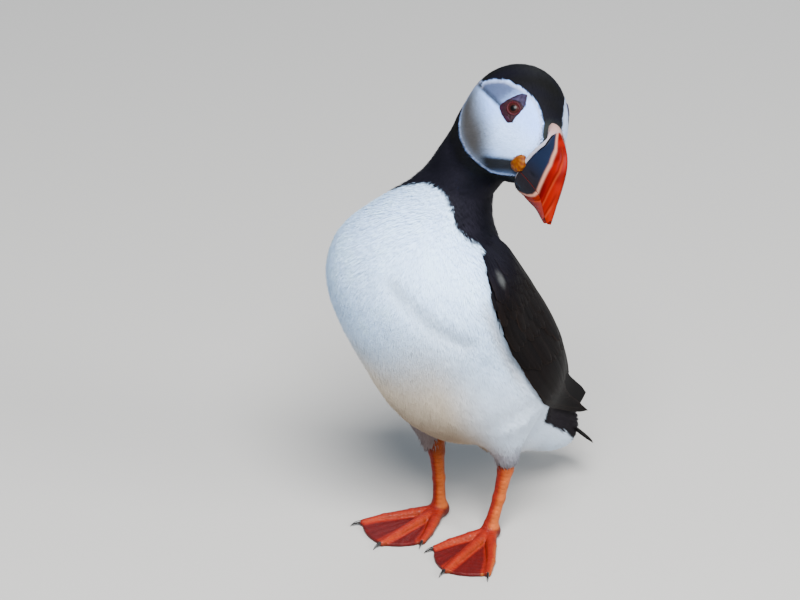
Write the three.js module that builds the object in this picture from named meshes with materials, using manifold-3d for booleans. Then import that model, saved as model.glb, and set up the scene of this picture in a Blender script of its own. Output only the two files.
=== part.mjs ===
// Atlantic puffin: a still, life-size model of the standing bird, head turned to its left.
// Millimetres, +Z up. The bird faces -Y and its left side is +X. The feet rest at z = 0.
// The soft outline is one distance field, a smooth union of named forms, that the flesh
// nodes are cast on; horn, eyes, legs and feet are built on their own and cut clear.
import * as THREE from 'three';
import { mergeVertices } from 'three/addons/utils/BufferGeometryUtils.js';
import Module from 'manifold-3d';

const wasm = await Module();
wasm.setup();

const vec = (x, y, z) => new THREE.Vector3(x, y, z);
const rad = THREE.MathUtils.degToRad;

// ---------------------------------------------------------------- driving dimensions
const GAP = 0.3;                                   // clearance between neighbouring pieces
const ORIGIN_SHIFT = vec(-12.6, -3.8, 0);          // brings the middle of the box over the origin

// Ellipsoids of the body; "lean" is the tilt of the long axis toward the breast, in degrees.
const CHEST = { centre: vec(0, -27, 114), radii: vec(40.5, 31, 35), lean: 26 };
const BELLY = { centre: vec(0, -7, 81), radii: vec(37, 34, 42), lean: 28 };
const BACK = { centre: vec(0, 4, 84), radii: vec(30, 22, 44), lean: 30 };
const RUMP = { from: vec(0, 9, 67), to: vec(0, 47, 30), fromRadius: 23.5, toRadius: 9.5 };
const VENT = { from: vec(0, 45, 31), to: vec(0, 56, 20), fromRadius: 8, toRadius: 2.4 };
const NECK_BASE = { at: vec(0, -16.5, 138), radius: 18 };
const NECK_MIDDLE = { at: vec(9.5, -12.5, 158), radius: 14 };
const NECK_TOP = { at: vec(18.5, -8, 174), radius: 14.5 };
const BLEND = { body: 20, back: 14, rump: 14, vent: 6, neck: 16, head: 7, face: 6 };

// The head and its own frame: x forward along the skull, y to its left, z to the crown.
const HEAD_CENTRE = vec(29, -6.2, 184.5);
const HEAD_TURN = 69.6;                            // to the bird's left, degrees
const HEAD_NOD = 14.5;
const HEAD_TILT = 24.4;                            // crown toward the head's own left
const SKULL = { centre: vec(0, 0, 0), radii: vec(20.5, 19, 22.2) };
const FACE = { centre: vec(10.3, 0, -0.6), radii: vec(16.3, 12.8, 17) };

const BILL = {
  base: 26, tip: 47.3, slant: 0.17,                // section planes lean by slant * z
  culmenHeight: 12.4, tipHeight: -10.6, culmenBend: 2.7,
  gapeHeight: -7.2, gapeDrop: 5.2, gapeBend: 2.8,
  keelHeight: -15.8, keelRise: 2.4, keelBend: 1.6,
  baseHalfWidth: 6.7, tipHalfWidth: 0.9, taper: 0.85,
};
const RIM = { back: 21.5, swell: 0.6, flare: 0.5 };    // fleshy collar round the root of the bill
const EYE = { centre: vec(10.3, 11.8, 10), radius: 3.6 };
const ROSETTE = { centre: vec(22.6, 7.3, -5.8), radii: vec(3.7, 2.2, 3.6) };
const PLATE_LIFT = 0.95;                           // how far the horny eye plates stand proud
// Outlines of the plates over and under the eye: forward and up from the middle of the eyeball.
const UPPER_PLATE = [[-2.2, 2.2], [3.4, 3.4], [-0.1, 6.9], [-1, 6.4]];
const LOWER_PLATE = [[-3.3, 0], [-2.9, -1.9], [3.3, -4.3], [4.8, -3.3], [3.2, -1.6], [-2, 0.3]];

// Wing outline in side view, as y, z pairs from the shoulder to the tip of the primaries.
const WING_LEADING_EDGE = [
  [-20, 138], [-29, 130], [-31, 119], [-26.5, 108.5], [-16, 92.5],
  [-4.8, 76.6], [8, 63.5], [26, 51.5], [44, 41.2], [57, 34.6],
];
const WING_REAR_EDGE = [
  [-13, 140], [-5, 132], [2, 122], [10, 109], [19, 95], [28, 81.5], [36, 69], [43.5, 58.5], [53, 48], [62, 36.6],
];
const WING_THICKNESS = 2.8;
const WING_EDGE = 0.8;
const WING_BED = { from: vec(0, 18, 80), to: vec(0, 62, 34), fromRadius: 20, toRadius: 9.5 };

const TAIL = { root: vec(0, 43, 39), tip: vec(0, 66, 16.5), rootHalfWidth: 8, tipHalfWidth: 12.5,
  rootThickness: 3.2, tipThickness: 1.1 };

// Each leg: thigh inside the belly plumage, bare shank, webbed foot flat on the ground.
const LEGS = {
  right: {
    hip: vec(-17.5, -3, 55), knee: vec(-15.6, -3.8, 37.5), ankle: vec(-12.9, -4.4, 30), foot: vec(-12.8, -2.8, 4.6),
    heading: 3, toes: { outer: [32.3, -33], middle: [34.8, 0], inner: [25.2, 26] },
  },
  left: {
    hip: vec(17.5, -1, 55), knee: vec(17.9, 3, 39), ankle: vec(17.4, 3.6, 30), foot: vec(14.6, -1.6, 4.6),
    heading: 13, toes: { outer: [32.3, 29], middle: [34.8, 0], inner: [25.2, -31] },
  },
};
const HIP_RADIUS = 13.4;
const KNEE_RADIUS = 7.4;
const SHANK_RADIUS = 2.5;
const TOE_RADIUS = 2.5;
const TOE_TIP_RADIUS = 1.4;
const WEB_THICKNESS = 1.1;
const CLAW_LENGTH = 5.5;

// ---------------------------------------------------------------- materials
const material = (color, roughness, metalness = 0) =>
  new THREE.MeshStandardMaterial({ color, roughness, metalness });
const MATERIALS = {
  white: material(0xe6ebf2, 0.9),
  black: material(0x1b1b22, 0.85),
  wing: material(0x2a2524, 0.8),
  face: material(0xc4cddc, 0.9),
  slateHorn: material(0x3f4a63, 0.45),
  redHorn: material(0xcf3312, 0.4),
  paleRim: material(0xe0bfa6, 0.55),
  rosette: material(0xd58a14, 0.6),
  eye: material(0x1a0a10, 0.1),
  eyePlate: material(0x4a3a52, 0.5),
  leg: material(0xdb5418, 0.5),
  claw: material(0x1c1a1c, 0.4),
};

// ---------------------------------------------------------------- distance field
function smoothMin(a, b, reach) {
  const h = Math.max(reach - Math.abs(a - b), 0) / reach;
  return Math.min(a, b) - (h * h * reach) / 4;
}

/** Distance to an ellipsoid whose long axis leans toward -Y by `lean` degrees. */
function ellipsoid({ centre, radii, lean = 0 }) {
  const s = Math.sin(rad(lean));
  const c = Math.cos(rad(lean));
  return (p) => {
    const dx = p.x - centre.x;
    const dy = p.y - centre.y;
    const dz = p.z - centre.z;
    const x = dx / radii.x;
    const y = (c * dy + s * dz) / radii.y;
    const z = (c * dz - s * dy) / radii.z;
    const scaled = Math.hypot(x, y, z);
    const slope = Math.hypot(x / radii.x, y / radii.y, z / radii.z);
    return slope < 1e-6 ? -Math.min(radii.x, radii.y, radii.z) : (scaled * (scaled - 1)) / slope;
  };
}

/** Distance to a tapered capsule. */
function taperedCapsule({ from, to, fromRadius, toRadius }) {
  const along = to.clone().sub(from);
  const lengthSq = along.lengthSq();
  return (p) => {
    const d = p.clone().sub(from);
    const t = THREE.MathUtils.clamp(d.dot(along) / lengthSq, 0, 1);
    return d.addScaledVector(along, -t).length() - THREE.MathUtils.lerp(fromRadius, toRadius, t);
  };
}

const neckSegment = (a, b) =>
  taperedCapsule({ from: a.at, to: b.at, fromRadius: a.radius, toRadius: b.radius });

const forms = {
  chest: ellipsoid(CHEST),
  belly: ellipsoid(BELLY),
  back: ellipsoid(BACK),
  rump: taperedCapsule(RUMP),
  vent: taperedCapsule(VENT),
  lowerNeck: neckSegment(NECK_BASE, NECK_MIDDLE),
  upperNeck: neckSegment(NECK_MIDDLE, NECK_TOP),
  skull: ellipsoid(SKULL),
  face: ellipsoid(FACE),
  wingBed: taperedCapsule(WING_BED),
};

function trunkField(p) {
  let d = smoothMin(forms.chest(p), forms.belly(p), BLEND.body);
  d = smoothMin(d, forms.back(p), BLEND.back);
  d = smoothMin(d, forms.rump(p), BLEND.rump);
  return smoothMin(d, forms.vent(p), BLEND.vent);
}

function headBasis() {
  const turn = rad(HEAD_TURN);
  const nod = rad(HEAD_NOD);
  const tilt = rad(HEAD_TILT);
  const forward = vec(Math.sin(turn) * Math.cos(nod), -Math.cos(turn) * Math.cos(nod), -Math.sin(nod));
  const levelUp = vec(0, 0, 1).addScaledVector(forward, Math.sin(nod)).normalize();
  const levelLeft = levelUp.clone().cross(forward);
  const up = levelUp.multiplyScalar(Math.cos(tilt)).addScaledVector(levelLeft, Math.sin(tilt));
  return new THREE.Matrix4().makeBasis(forward, up.clone().cross(forward), up);
}

const headToBird = headBasis().setPosition(HEAD_CENTRE);
const birdToHead = headToBird.clone().invert();

const headForms = (q) => smoothMin(forms.skull(q), forms.face(q), BLEND.face);

/** The whole soft outline but the thighs, in the bird's frame. */
function birdField(p) {
  const neck = Math.min(forms.lowerNeck(p), forms.upperNeck(p));
  const body = smoothMin(trunkField(p), neck, BLEND.neck);
  return smoothMin(body, headForms(p.clone().applyMatrix4(birdToHead)), BLEND.head);
}

const wingBedField = (p) => smoothMin(birdField(p), forms.wingBed(p), 10);

// ---------------------------------------------------------------- meshing helpers
function signedVolume(position, index) {
  const a = vec();
  const b = vec();
  const c = vec();
  let sum = 0;
  for (let i = 0; i < index.count; i += 3) {
    a.fromBufferAttribute(position, index.getX(i));
    b.fromBufferAttribute(position, index.getX(i + 1));
    c.fromBufferAttribute(position, index.getX(i + 2));
    sum += a.dot(b.cross(c)) / 6;
  }
  return sum;
}

/** Indexed geometry from points and triangles, faces turned outward. */
function closedGeometry(points, triangles) {
  const geometry = new THREE.BufferGeometry().setFromPoints(points);
  geometry.setIndex(triangles);
  const merged = mergeVertices(geometry, 1e-4);
  if (signedVolume(merged.attributes.position, merged.index) < 0) {
    const order = merged.index.array;
    for (let i = 0; i < order.length; i += 3) [order[i], order[i + 1]] = [order[i + 1], order[i]];
  }
  merged.computeVertexNormals();
  return merged;
}

/** Strip of triangles between two rings, each an array of point numbers; one of them may be a pole. */
function bridge(triangles, lower, upper) {
  const count = Math.max(lower.length, upper.length);
  for (let j = 0; j < count; j += 1) {
    const next = (j + 1) % count;
    if (lower.length > 1) triangles.push(lower[j], lower[next], upper[upper.length > 1 ? next : 0]);
    if (upper.length > 1) triangles.push(lower[lower.length > 1 ? j : 0], upper[next], upper[j]);
  }
}

/** Closed surface through a list of rings of points; a ring of one point is a pole. */
function ringSurface(rings) {
  const points = [];
  const numbered = rings.map((ring) => ring.map((point) => points.push(point) - 1));
  const triangles = [];
  for (let i = 1; i < numbered.length; i += 1) bridge(triangles, numbered[i - 1], numbered[i]);
  return closedGeometry(points, triangles);
}

/** Walks from inside the field along a direction and returns the point on its surface. */
function castOut(field, from, direction, stride = 1.5) {
  const at = (t) => from.clone().addScaledVector(direction, t);
  let outside = stride;
  while (field(at(outside)) < 0 && outside < 120) outside += stride;
  let inside = outside - stride;
  for (let i = 0; i < 14; i += 1) {
    const middle = (inside + outside) / 2;
    if (field(at(middle)) < 0) inside = middle;
    else outside = middle;
  }
  return at(inside);
}

/** One ring cast on a field: rays leave `centre`, fanned round `axis` and raised by `tilt` degrees. */
function castRing(field, { centre, axis, tilt = 0 }, sectors) {
  const side = vec(1, 0, 0).addScaledVector(axis, -axis.x).normalize();
  const front = axis.clone().cross(side);
  const rise = axis.clone().multiplyScalar(Math.sin(rad(tilt)));
  if (Math.abs(tilt) === 90) return [castOut(field, centre, rise)];
  return Array.from({ length: sectors }, (_, j) => {
    const angle = (2 * Math.PI * j) / sectors;
    const around = side.clone().multiplyScalar(Math.cos(angle)).addScaledVector(front, Math.sin(angle));
    const direction = around.multiplyScalar(Math.cos(rad(tilt))).add(rise);
    return castOut(field, centre, direction);
  });
}

const flatCap = (ring) =>
  [ring.reduce((sum, point) => sum.add(point), vec(0, 0, 0)).divideScalar(ring.length)];

/** Rings and poles from a list of stations; open ends get a flat cap. */
function castLoft(field, stations, sectors) {
  const rings = stations.map((station) => castRing(field, station, sectors));
  if (rings[0].length > 1) rings.unshift(flatCap(rings[0]));
  if (rings.at(-1).length > 1) rings.push(flatCap(rings.at(-1)));
  return ringSurface(rings);
}

/** Round tapering rod along a curve, with `squash` flattening it sideways; its ends close to a point. */
function taperedRod(curve, radiusAt, steps, sides, squash = 1) {
  const rings = [[curve.getPoint(0)]];
  for (let i = 0; i <= steps; i += 1) {
    const t = i / steps;
    const centre = curve.getPoint(t);
    const axis = curve.getTangent(t);
    const side = vec(0, 0, 1).cross(axis).lengthSq() > 0.01 ? vec(0, 0, 1).cross(axis) : vec(1, 0, 0);
    side.normalize();
    const front = axis.clone().cross(side);
    rings.push(Array.from({ length: sides }, (_, j) => {
      const angle = (2 * Math.PI * j) / sides;
      return centre.clone()
        .addScaledVector(side, Math.cos(angle) * radiusAt(t) * squash)
        .addScaledVector(front, Math.sin(angle) * radiusAt(t));
    }));
  }
  rings.push([curve.getPoint(1)]);
  return ringSurface(rings);
}

/** Thin solid between two grids of points that share one layout. */
function shellSolid(outer, inner) {
  const points = [...outer.flat(), ...inner.flat()];
  const columns = outer[0].length;
  const rows = outer.length;
  const layer = rows * columns;
  const triangles = [];
  const quad = (a, b, c, d) => triangles.push(a, b, c, a, c, d);
  for (let i = 0; i < rows - 1; i += 1) {
    for (let j = 0; j < columns - 1; j += 1) {
      const a = i * columns + j;
      quad(a, a + 1, a + columns + 1, a + columns);
      quad(layer + a, layer + a + columns, layer + a + columns + 1, layer + a + 1);
    }
  }
  const border = [];
  for (let j = 0; j < columns - 1; j += 1) border.push(j);
  for (let i = 0; i < rows - 1; i += 1) border.push(i * columns + columns - 1);
  for (let j = columns - 1; j > 0; j -= 1) border.push((rows - 1) * columns + j);
  for (let i = rows - 1; i > 0; i -= 1) border.push(i * columns);
  border.forEach((a, k) => {
    const b = border[(k + 1) % border.length];
    quad(b, a, layer + a, layer + b);
  });
  return closedGeometry(points, triangles);
}

// ---------------------------------------------------------------- cuts and joins
function toSolid(geometry) {
  const bare = new THREE.BufferGeometry();
  bare.setAttribute('position', geometry.getAttribute('position').clone());
  if (geometry.index) bare.setIndex(geometry.index.clone());
  const merged = mergeVertices(bare, 1e-4);
  return new wasm.Manifold(new wasm.Mesh({
    numProp: 3,
    vertProperties: new Float32Array(merged.attributes.position.array),
    triVerts: new Uint32Array(merged.index.array),
  }));
}

function toGeometry(solid) {
  const mesh = solid.getMesh();
  const geometry = new THREE.BufferGeometry();
  geometry.setAttribute('position', new THREE.BufferAttribute(mesh.vertProperties, 3));
  geometry.setIndex(new THREE.BufferAttribute(mesh.triVerts, 1));
  geometry.computeVertexNormals();
  return geometry;
}

const cut = (geometry, ...tools) =>
  toGeometry(tools.reduce((solid, tool) => solid.subtract(toSolid(tool)), toSolid(geometry)));
const join = (first, ...others) =>
  toGeometry(others.reduce((solid, other) => solid.add(toSolid(other)), toSolid(first)));
const common = (a, b) => toGeometry(toSolid(a).intersect(toSolid(b)));

// ---------------------------------------------------------------- flesh
// One line from the vent to the head's centre carries the rings of trunk and neck.
const SPINE = new THREE.CatmullRomCurve3([
  vec(0, 44, 33), vec(0, 26, 49), vec(0, 8, 68), vec(0, -8, 94), vec(0, -16, 122), vec(2.5, -15.5, 141),
  vec(9.5, -12.5, 158), vec(17.5, -9, 171.5), HEAD_CENTRE,
]);
const COLLAR = 0.655;                              // where the neck leaves the trunk, along the line
const NAPE = 0.865;                                // where the head leaves the neck
const station = (t) => ({ centre: SPINE.getPointAt(t), axis: SPINE.getTangentAt(t) });

/** Station moved along its own axis, to leave half a gap on either side of a joint. */
function shifted({ centre, axis }, distance) {
  return { centre: centre.clone().addScaledVector(axis, distance), axis };
}

const evenly = (count, from, to) =>
  Array.from({ length: count }, (_, i) => from + ((to - from) * i) / (count - 1));

function trunkStations(ends = 0) {
  const tail = station(0);
  const closing = [-90, -62, -38, -18].map((tilt) => ({ ...tail, tilt }));
  const along = evenly(20, 0, COLLAR - 0.014).map(station);
  return [...closing, ...along, shifted(station(COLLAR), ends - GAP / 2)];
}

const SECTORS = 28;
const trunk = castLoft(birdField, trunkStations(), SECTORS);
const trunkClearance = castLoft((p) => birdField(p) - GAP, trunkStations(GAP), SECTORS);

const neck = castLoft(birdField, [
  shifted(station(COLLAR), GAP / 2),
  ...evenly(5, COLLAR + 0.03, NAPE - 0.03).map(station),
  shifted(station(NAPE), -GAP / 2),
], SECTORS);

// ---------------------------------------------------------------- head, in its own frame
const headField = (q) => birdField(q.clone().applyMatrix4(headToBird));

function toHeadFrame({ centre, axis }) {
  return { centre: centre.clone().applyMatrix4(birdToHead), axis: axis.clone().transformDirection(birdToHead) };
}

function headStations(grow = 0) {
  const start = toHeadFrame(shifted(station(NAPE), GAP / 2 - grow));
  const middle = { centre: vec(2, 0, 0), axis: start.axis };
  const rising = [0.4, 0.75, 1].map((t) => ({
    centre: start.centre.clone().lerp(middle.centre, t),
    axis: start.axis,
  }));
  const dome = [11, 22, 33, 44, 55, 66, 78, 90].map((tilt) => ({ ...middle, tilt }));
  return [start, ...rising, ...dome];
}

const headForm = (grow) => castLoft((q) => headField(q) - grow, headStations(grow), SECTORS);

/** Height of the culmen, the gape line and the keel along the bill, t from base to tip. */
const billAlong = (x) => THREE.MathUtils.clamp((x - BILL.base) / (BILL.tip - BILL.base), 0, 1);
const culmenAt = (t) => BILL.culmenHeight + (BILL.tipHeight - BILL.culmenHeight) * t ** BILL.culmenBend;
const gapeAt = (t) => BILL.gapeHeight - BILL.gapeDrop * t ** BILL.gapeBend;
const keelAt = (t) => BILL.keelHeight + BILL.keelRise * t ** BILL.keelBend;
const halfWidthAt = (t) =>
  BILL.tipHalfWidth + (BILL.baseHalfWidth - BILL.tipHalfWidth) * (1 - t) ** BILL.taper;

/** Closed section of one mandible: flat at the gape line, arched to its ridge. */
function mandibleSection(x, { edge, ridge, sharpness }, count) {
  const t = billAlong(x);
  const low = edge(t);
  const high = ridge(t);
  return Array.from({ length: count }, (_, j) => {
    const angle = (Math.PI * j) / (count - 1);
    const y = halfWidthAt(t) * Math.sign(Math.cos(angle)) * Math.abs(Math.cos(angle)) ** (2 / sharpness);
    const z = low + (high - low) * Math.sin(angle) ** 0.9;
    return vec(x + BILL.slant * (1 - t) * z, y, z);
  });
}

/** Oval collar round the bill's root, from `back` to `front` along the head, widest at its back. */
function collarSolid(back, front, margin, count = 20) {
  const middle = (BILL.keelHeight + BILL.culmenHeight) / 2;
  const halfHeight = (BILL.culmenHeight - BILL.keelHeight) / 2 + margin;
  const rings = [0, 0.4, 0.75, 1].map((s) => {
    const grow = margin + RIM.flare * (1 - s);
    return Array.from({ length: count }, (_, j) => {
      const angle = (2 * Math.PI * j) / count;
      const across = Math.sign(Math.cos(angle)) * Math.abs(Math.cos(angle)) ** 1.15;
      const z = middle + (halfHeight + RIM.flare * (1 - s)) * Math.sin(angle);
      return vec(THREE.MathUtils.lerp(back, front, s) + BILL.slant * z, (BILL.baseHalfWidth + grow) * across, z);
    });
  });
  return ringSurface([flatCap(rings[0]), ...rings, flatCap(rings.at(-1))]);
}

function mandible(shape, to, steps, count) {
  const rings = evenly(steps, 0, 1).map((s) => {
    const x = BILL.base + (to - BILL.base) * Math.sin((s * Math.PI) / 2);
    return mandibleSection(x, shape, count);
  });
  return ringSurface([flatCap(rings[0]), ...rings, flatCap(rings.at(-1))]);
}

const upperShape = { edge: (t) => gapeAt(t) + GAP / 2, ridge: culmenAt, sharpness: 1.4 };
const lowerShape = { edge: (t) => gapeAt(t) - GAP / 2, ridge: keelAt, sharpness: 1.8 };

const billUpperFull = mandible(upperShape, BILL.tip, 13, 15);
const billLowerFull = mandible(lowerShape, BILL.tip - 2.2, 9, 13);
const rimFull = collarSolid(RIM.back, BILL.base - GAP, RIM.swell);
const billRoot = collarSolid(RIM.back - GAP, BILL.base + 8, RIM.swell + GAP);

function grown(geometry, amount) {
  const copy = geometry.clone();
  const merged = mergeVertices(copy.deleteAttribute('normal'), 1e-4);
  merged.computeVertexNormals();
  const { position, normal } = merged.attributes;
  for (let i = 0; i < position.count; i += 1) {
    position.setXYZ(i,
      position.getX(i) + normal.getX(i) * amount,
      position.getY(i) + normal.getY(i) * amount,
      position.getZ(i) + normal.getZ(i) * amount);
  }
  return merged;
}

function ball(centre, radii, detail = 14) {
  const geometry = new THREE.SphereGeometry(1, detail, Math.round(detail * 0.7));
  geometry.scale(radii.x, radii.y, radii.z);
  geometry.translate(centre.x, centre.y, centre.z);
  return geometry;
}

const SIDES = { left: 1, right: -1 };
const mirrored = (point, side) => vec(point.x, point.y * SIDES[side], point.z);
const cube = (radius) => vec(radius, radius, radius);

function rosette(side, grow = 0) {
  return ball(mirrored(ROSETTE.centre, side), ROSETTE.radii.clone().addScalar(grow), 10);
}

function eyeball(side, grow = 0) {
  return ball(mirrored(EYE.centre, side), cube(EYE.radius + grow), 14);
}

/** Horny plate beside the eye: a triangular prism trimmed to a thin skin over the face. */
function eyePlate(side, corners) {
  const shape = new THREE.Shape(corners.map(([x, z]) => new THREE.Vector2(EYE.centre.x + x, EYE.centre.z + z)));
  const prism = new THREE.ExtrudeGeometry(shape, { depth: 14, bevelEnabled: false });
  prism.rotateX(Math.PI / 2);
  prism.translate(0, side === 'left' ? 19 : -5, 0);
  const shell = cut(headForm(PLATE_LIFT), headForm(GAP));
  return cut(common(prism, shell), eyeball(side, GAP));
}

const rosetteClearances = [rosette('left', GAP), rosette('right', GAP)];
const head = cut(
  headForm(0),
  billRoot,
  ...rosetteClearances,
  eyeball('left', GAP),
  eyeball('right', GAP),
);
const billUpper = cut(billUpperFull, ...rosetteClearances);
const billLower = cut(billLowerFull, ...rosetteClearances);
const rim = cut(rimFull, ...rosetteClearances);

// ---------------------------------------------------------------- wings
/** Smooth edge curve through y, z pairs, at x = 0. */
const edgeCurve = (pairs) => new THREE.CatmullRomCurve3(pairs.map(([y, z]) => vec(0, y, z)));
const leadingEdge = edgeCurve(WING_LEADING_EDGE);
const rearEdge = edgeCurve(WING_REAR_EDGE);

function fieldNormal(field, p) {
  const h = 0.4;
  return vec(
    field(vec(p.x + h, p.y, p.z)) - field(vec(p.x - h, p.y, p.z)),
    field(vec(p.x, p.y + h, p.z)) - field(vec(p.x, p.y - h, p.z)),
    field(vec(p.x, p.y, p.z + h)) - field(vec(p.x, p.y, p.z - h)),
  ).normalize();
}

/** Folded wing: a thin shell bedded on the flank, thick in the middle and thin at its edges. */
function foldedWing(sign) {
  const outer = [];
  const inner = [];
  evenly(19, 0, 1).forEach((s) => {
    const front = leadingEdge.getPoint(s);
    const rear = rearEdge.getPoint(s);
    const outerRow = [];
    const innerRow = [];
    evenly(8, 0, 1).forEach((across) => {
      const from = front.clone().lerp(rear, across);
      const foot = castOut(wingBedField, from, vec(sign, 0, 0), 1);
      const normal = fieldNormal(wingBedField, foot);
      const body = Math.sin(Math.PI * across) ** 0.6 * Math.sin(Math.PI * Math.min(s + 0.06, 1)) ** 0.35;
      const thickness = WING_EDGE + (WING_THICKNESS - WING_EDGE) * body;
      innerRow.push(foot.clone().addScaledVector(normal, GAP + 0.1));
      outerRow.push(foot.clone().addScaledVector(normal, GAP + 0.1 + thickness));
    });
    outer.push(outerRow);
    inner.push(innerRow);
  });
  return shellSolid(outer, inner);
}

// ---------------------------------------------------------------- tail
function tailFan() {
  const along = TAIL.tip.clone().sub(TAIL.root);
  const normal = vec(1, 0, 0).cross(along).normalize();
  const top = [];
  const bottom = [];
  evenly(6, 0, 1).forEach((t) => {
    const half = THREE.MathUtils.lerp(TAIL.rootHalfWidth, TAIL.tipHalfWidth, t ** 0.7);
    const thickness = THREE.MathUtils.lerp(TAIL.rootThickness, TAIL.tipThickness, t);
    const topRow = [];
    const bottomRow = [];
    evenly(9, -1, 1).forEach((u) => {
      const reach = t * (1 - 0.22 * t * u * u);
      const edge = 1 - 0.35 * u * u;
      const centre = TAIL.root.clone().addScaledVector(along, reach).add(vec(u * half, 0, 0));
      centre.addScaledVector(normal, 1.6 * u * u * Math.sign(normal.z) * -1);
      topRow.push(centre.clone().addScaledVector(normal, (thickness * edge) / 2));
      bottomRow.push(centre.clone().addScaledVector(normal, (-thickness * edge) / 2));
    });
    top.push(topRow);
    bottom.push(bottomRow);
  });
  return cut(shellSolid(top, bottom), trunkClearance);
}

// ---------------------------------------------------------------- legs
function thighForm({ hip, knee }, grow = 0) {
  const field = taperedCapsule({ from: hip, to: knee, fromRadius: HIP_RADIUS, toRadius: KNEE_RADIUS });
  const axis = knee.clone().sub(hip).normalize();
  const stations = [
    ...[-90, -40].map((tilt) => ({ centre: hip, axis, tilt })),
    ...[0, 0.5, 1].map((t) => ({ centre: hip.clone().lerp(knee, t), axis })),
    ...[25, 52, 90].map((tilt) => ({ centre: knee, axis, tilt })),
  ];
  return castLoft((p) => field(p) - grow, stations, 16);
}

function shankRadius(t) {
  const knuckle = Math.exp(-(((t - 0.1) / 0.16) ** 2));
  const footJoint = Math.exp(-(((t - 1) / 0.1) ** 2));
  return SHANK_RADIUS + 1.1 * knuckle + 0.5 * footJoint;
}

function shank(leg) {
  const middle = leg.ankle.clone().lerp(leg.foot, 0.5).add(vec(0, 0.8, 0));
  const curve = new THREE.QuadraticBezierCurve3(leg.ankle.clone().add(vec(0, 0, 5)), middle, leg.foot);
  return taperedRod(curve, shankRadius, 8, 10, 0.85);
}

/** Point at a distance from the foot joint, in a heading turned to the bird's left from -Y. */
function onGround(leg, distance, heading, height = 0) {
  const angle = rad(leg.heading + heading);
  return vec(leg.foot.x + distance * Math.sin(angle), leg.foot.y - distance * Math.cos(angle), height);
}

function toeCurve(leg, [length, heading]) {
  return new THREE.CatmullRomCurve3([
    onGround(leg, -2.5, heading, 3.0),
    onGround(leg, length * 0.35, heading * 0.94, 2.1),
    onGround(leg, length * 0.7, heading * 0.98, 1.6),
    onGround(leg, length, heading, TOE_TIP_RADIUS * 0.8),
  ]);
}

const toeRadius = (t) => THREE.MathUtils.lerp(TOE_RADIUS, TOE_TIP_RADIUS, t);

function webPlate(leg) {
  const { outer, middle, inner } = leg.toes;
  const flat = (point) => new THREE.Vector2(point.x, point.y);
  const shape = new THREE.Shape();
  const heel = flat(onGround(leg, -4.2, 0));
  const corner = ([length, heading]) => flat(onGround(leg, length * 0.97, heading));
  const scallop = (a, b) => flat(onGround(leg, (a[0] + b[0]) * 0.425, (a[1] + b[1]) / 2));
  const outerTip = corner(outer);
  shape.moveTo(heel.x, heel.y);
  shape.lineTo(outerTip.x, outerTip.y);
  [[outer, middle], [middle, inner]].forEach(([from, to]) => {
    const dip = scallop(from, to);
    const end = corner(to);
    shape.quadraticCurveTo(dip.x, dip.y, end.x, end.y);
  });
  shape.lineTo(heel.x, heel.y);
  return new THREE.ExtrudeGeometry(shape, { depth: WEB_THICKNESS, bevelEnabled: false, curveSegments: 6 });
}

const BELOW_GROUND = new THREE.BoxGeometry(300, 300, 20).translate(0, 0, -10);

function webbedFoot(leg) {
  const toes = Object.values(leg.toes).map((toe) => taperedRod(toeCurve(leg, toe), toeRadius, 5, 8));
  const joint = ball(vec(leg.foot.x, leg.foot.y + 0.4, 2.2), vec(3.6, 4.4, 3.2), 12);
  const whole = join(webPlate(leg), joint, ...toes);
  return cut(whole, BELOW_GROUND, grown(shank(leg), GAP));
}

const clawRadius = (t) => THREE.MathUtils.lerp(1.25, 0.35, t);

function claw(leg, toe) {
  const [length, heading] = toe;
  const curve = new THREE.QuadraticBezierCurve3(
    onGround(leg, length + GAP, heading, 1.35),
    onGround(leg, length + CLAW_LENGTH * 0.6, heading, 2.6),
    onGround(leg, length + CLAW_LENGTH, heading, 0.55),
  );
  const toeClearance = grown(taperedRod(toeCurve(leg, toe), toeRadius, 5, 8), GAP);
  return cut(taperedRod(curve, clawRadius, 5, 8), BELOW_GROUND, toeClearance);
}

// ---------------------------------------------------------------- assembly
const bird = new THREE.Group();
bird.position.copy(ORIGIN_SHIFT);

function add(parent, name, geometry, finish) {
  const mesh = new THREE.Mesh(geometry, finish);
  mesh.name = name;
  parent.add(mesh);
}

add(bird, 'trunk', trunk, MATERIALS.white);
add(bird, 'neck', neck, MATERIALS.black);
add(bird, 'tail', tailFan(), MATERIALS.black);
add(bird, 'wing_left', foldedWing(1), MATERIALS.wing);
add(bird, 'wing_right', foldedWing(-1), MATERIALS.wing);

const headGroup = new THREE.Group();
headGroup.applyMatrix4(headToBird);
bird.add(headGroup);
add(headGroup, 'head', head, MATERIALS.face);
add(headGroup, 'bill_upper', billUpper, MATERIALS.redHorn);
add(headGroup, 'bill_lower', billLower, MATERIALS.slateHorn);
add(headGroup, 'bill_rim', rim, MATERIALS.paleRim);
Object.keys(SIDES).forEach((side) => {
  add(headGroup, `eye_${side}`, eyeball(side), MATERIALS.eye);
  add(headGroup, `rosette_${side}`, rosette(side), MATERIALS.rosette);
  add(headGroup, `eye_plate_upper_${side}`, eyePlate(side, UPPER_PLATE), MATERIALS.eyePlate);
  add(headGroup, `eye_plate_lower_${side}`, eyePlate(side, LOWER_PLATE), MATERIALS.eyePlate);
});

Object.entries(LEGS).forEach(([side, leg]) => {
  const thigh = cut(thighForm(leg), trunkClearance, grown(shank(leg), GAP));
  add(bird, `thigh_${side}`, thigh, MATERIALS.white);
  add(bird, `shank_${side}`, shank(leg), MATERIALS.leg);
  add(bird, `foot_${side}`, webbedFoot(leg), MATERIALS.leg);
  Object.entries(leg.toes).forEach(([toe, reach]) => {
    add(bird, `claw_${toe}_${side}`, claw(leg, reach), MATERIALS.claw);
  });
});

export default bird;
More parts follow.
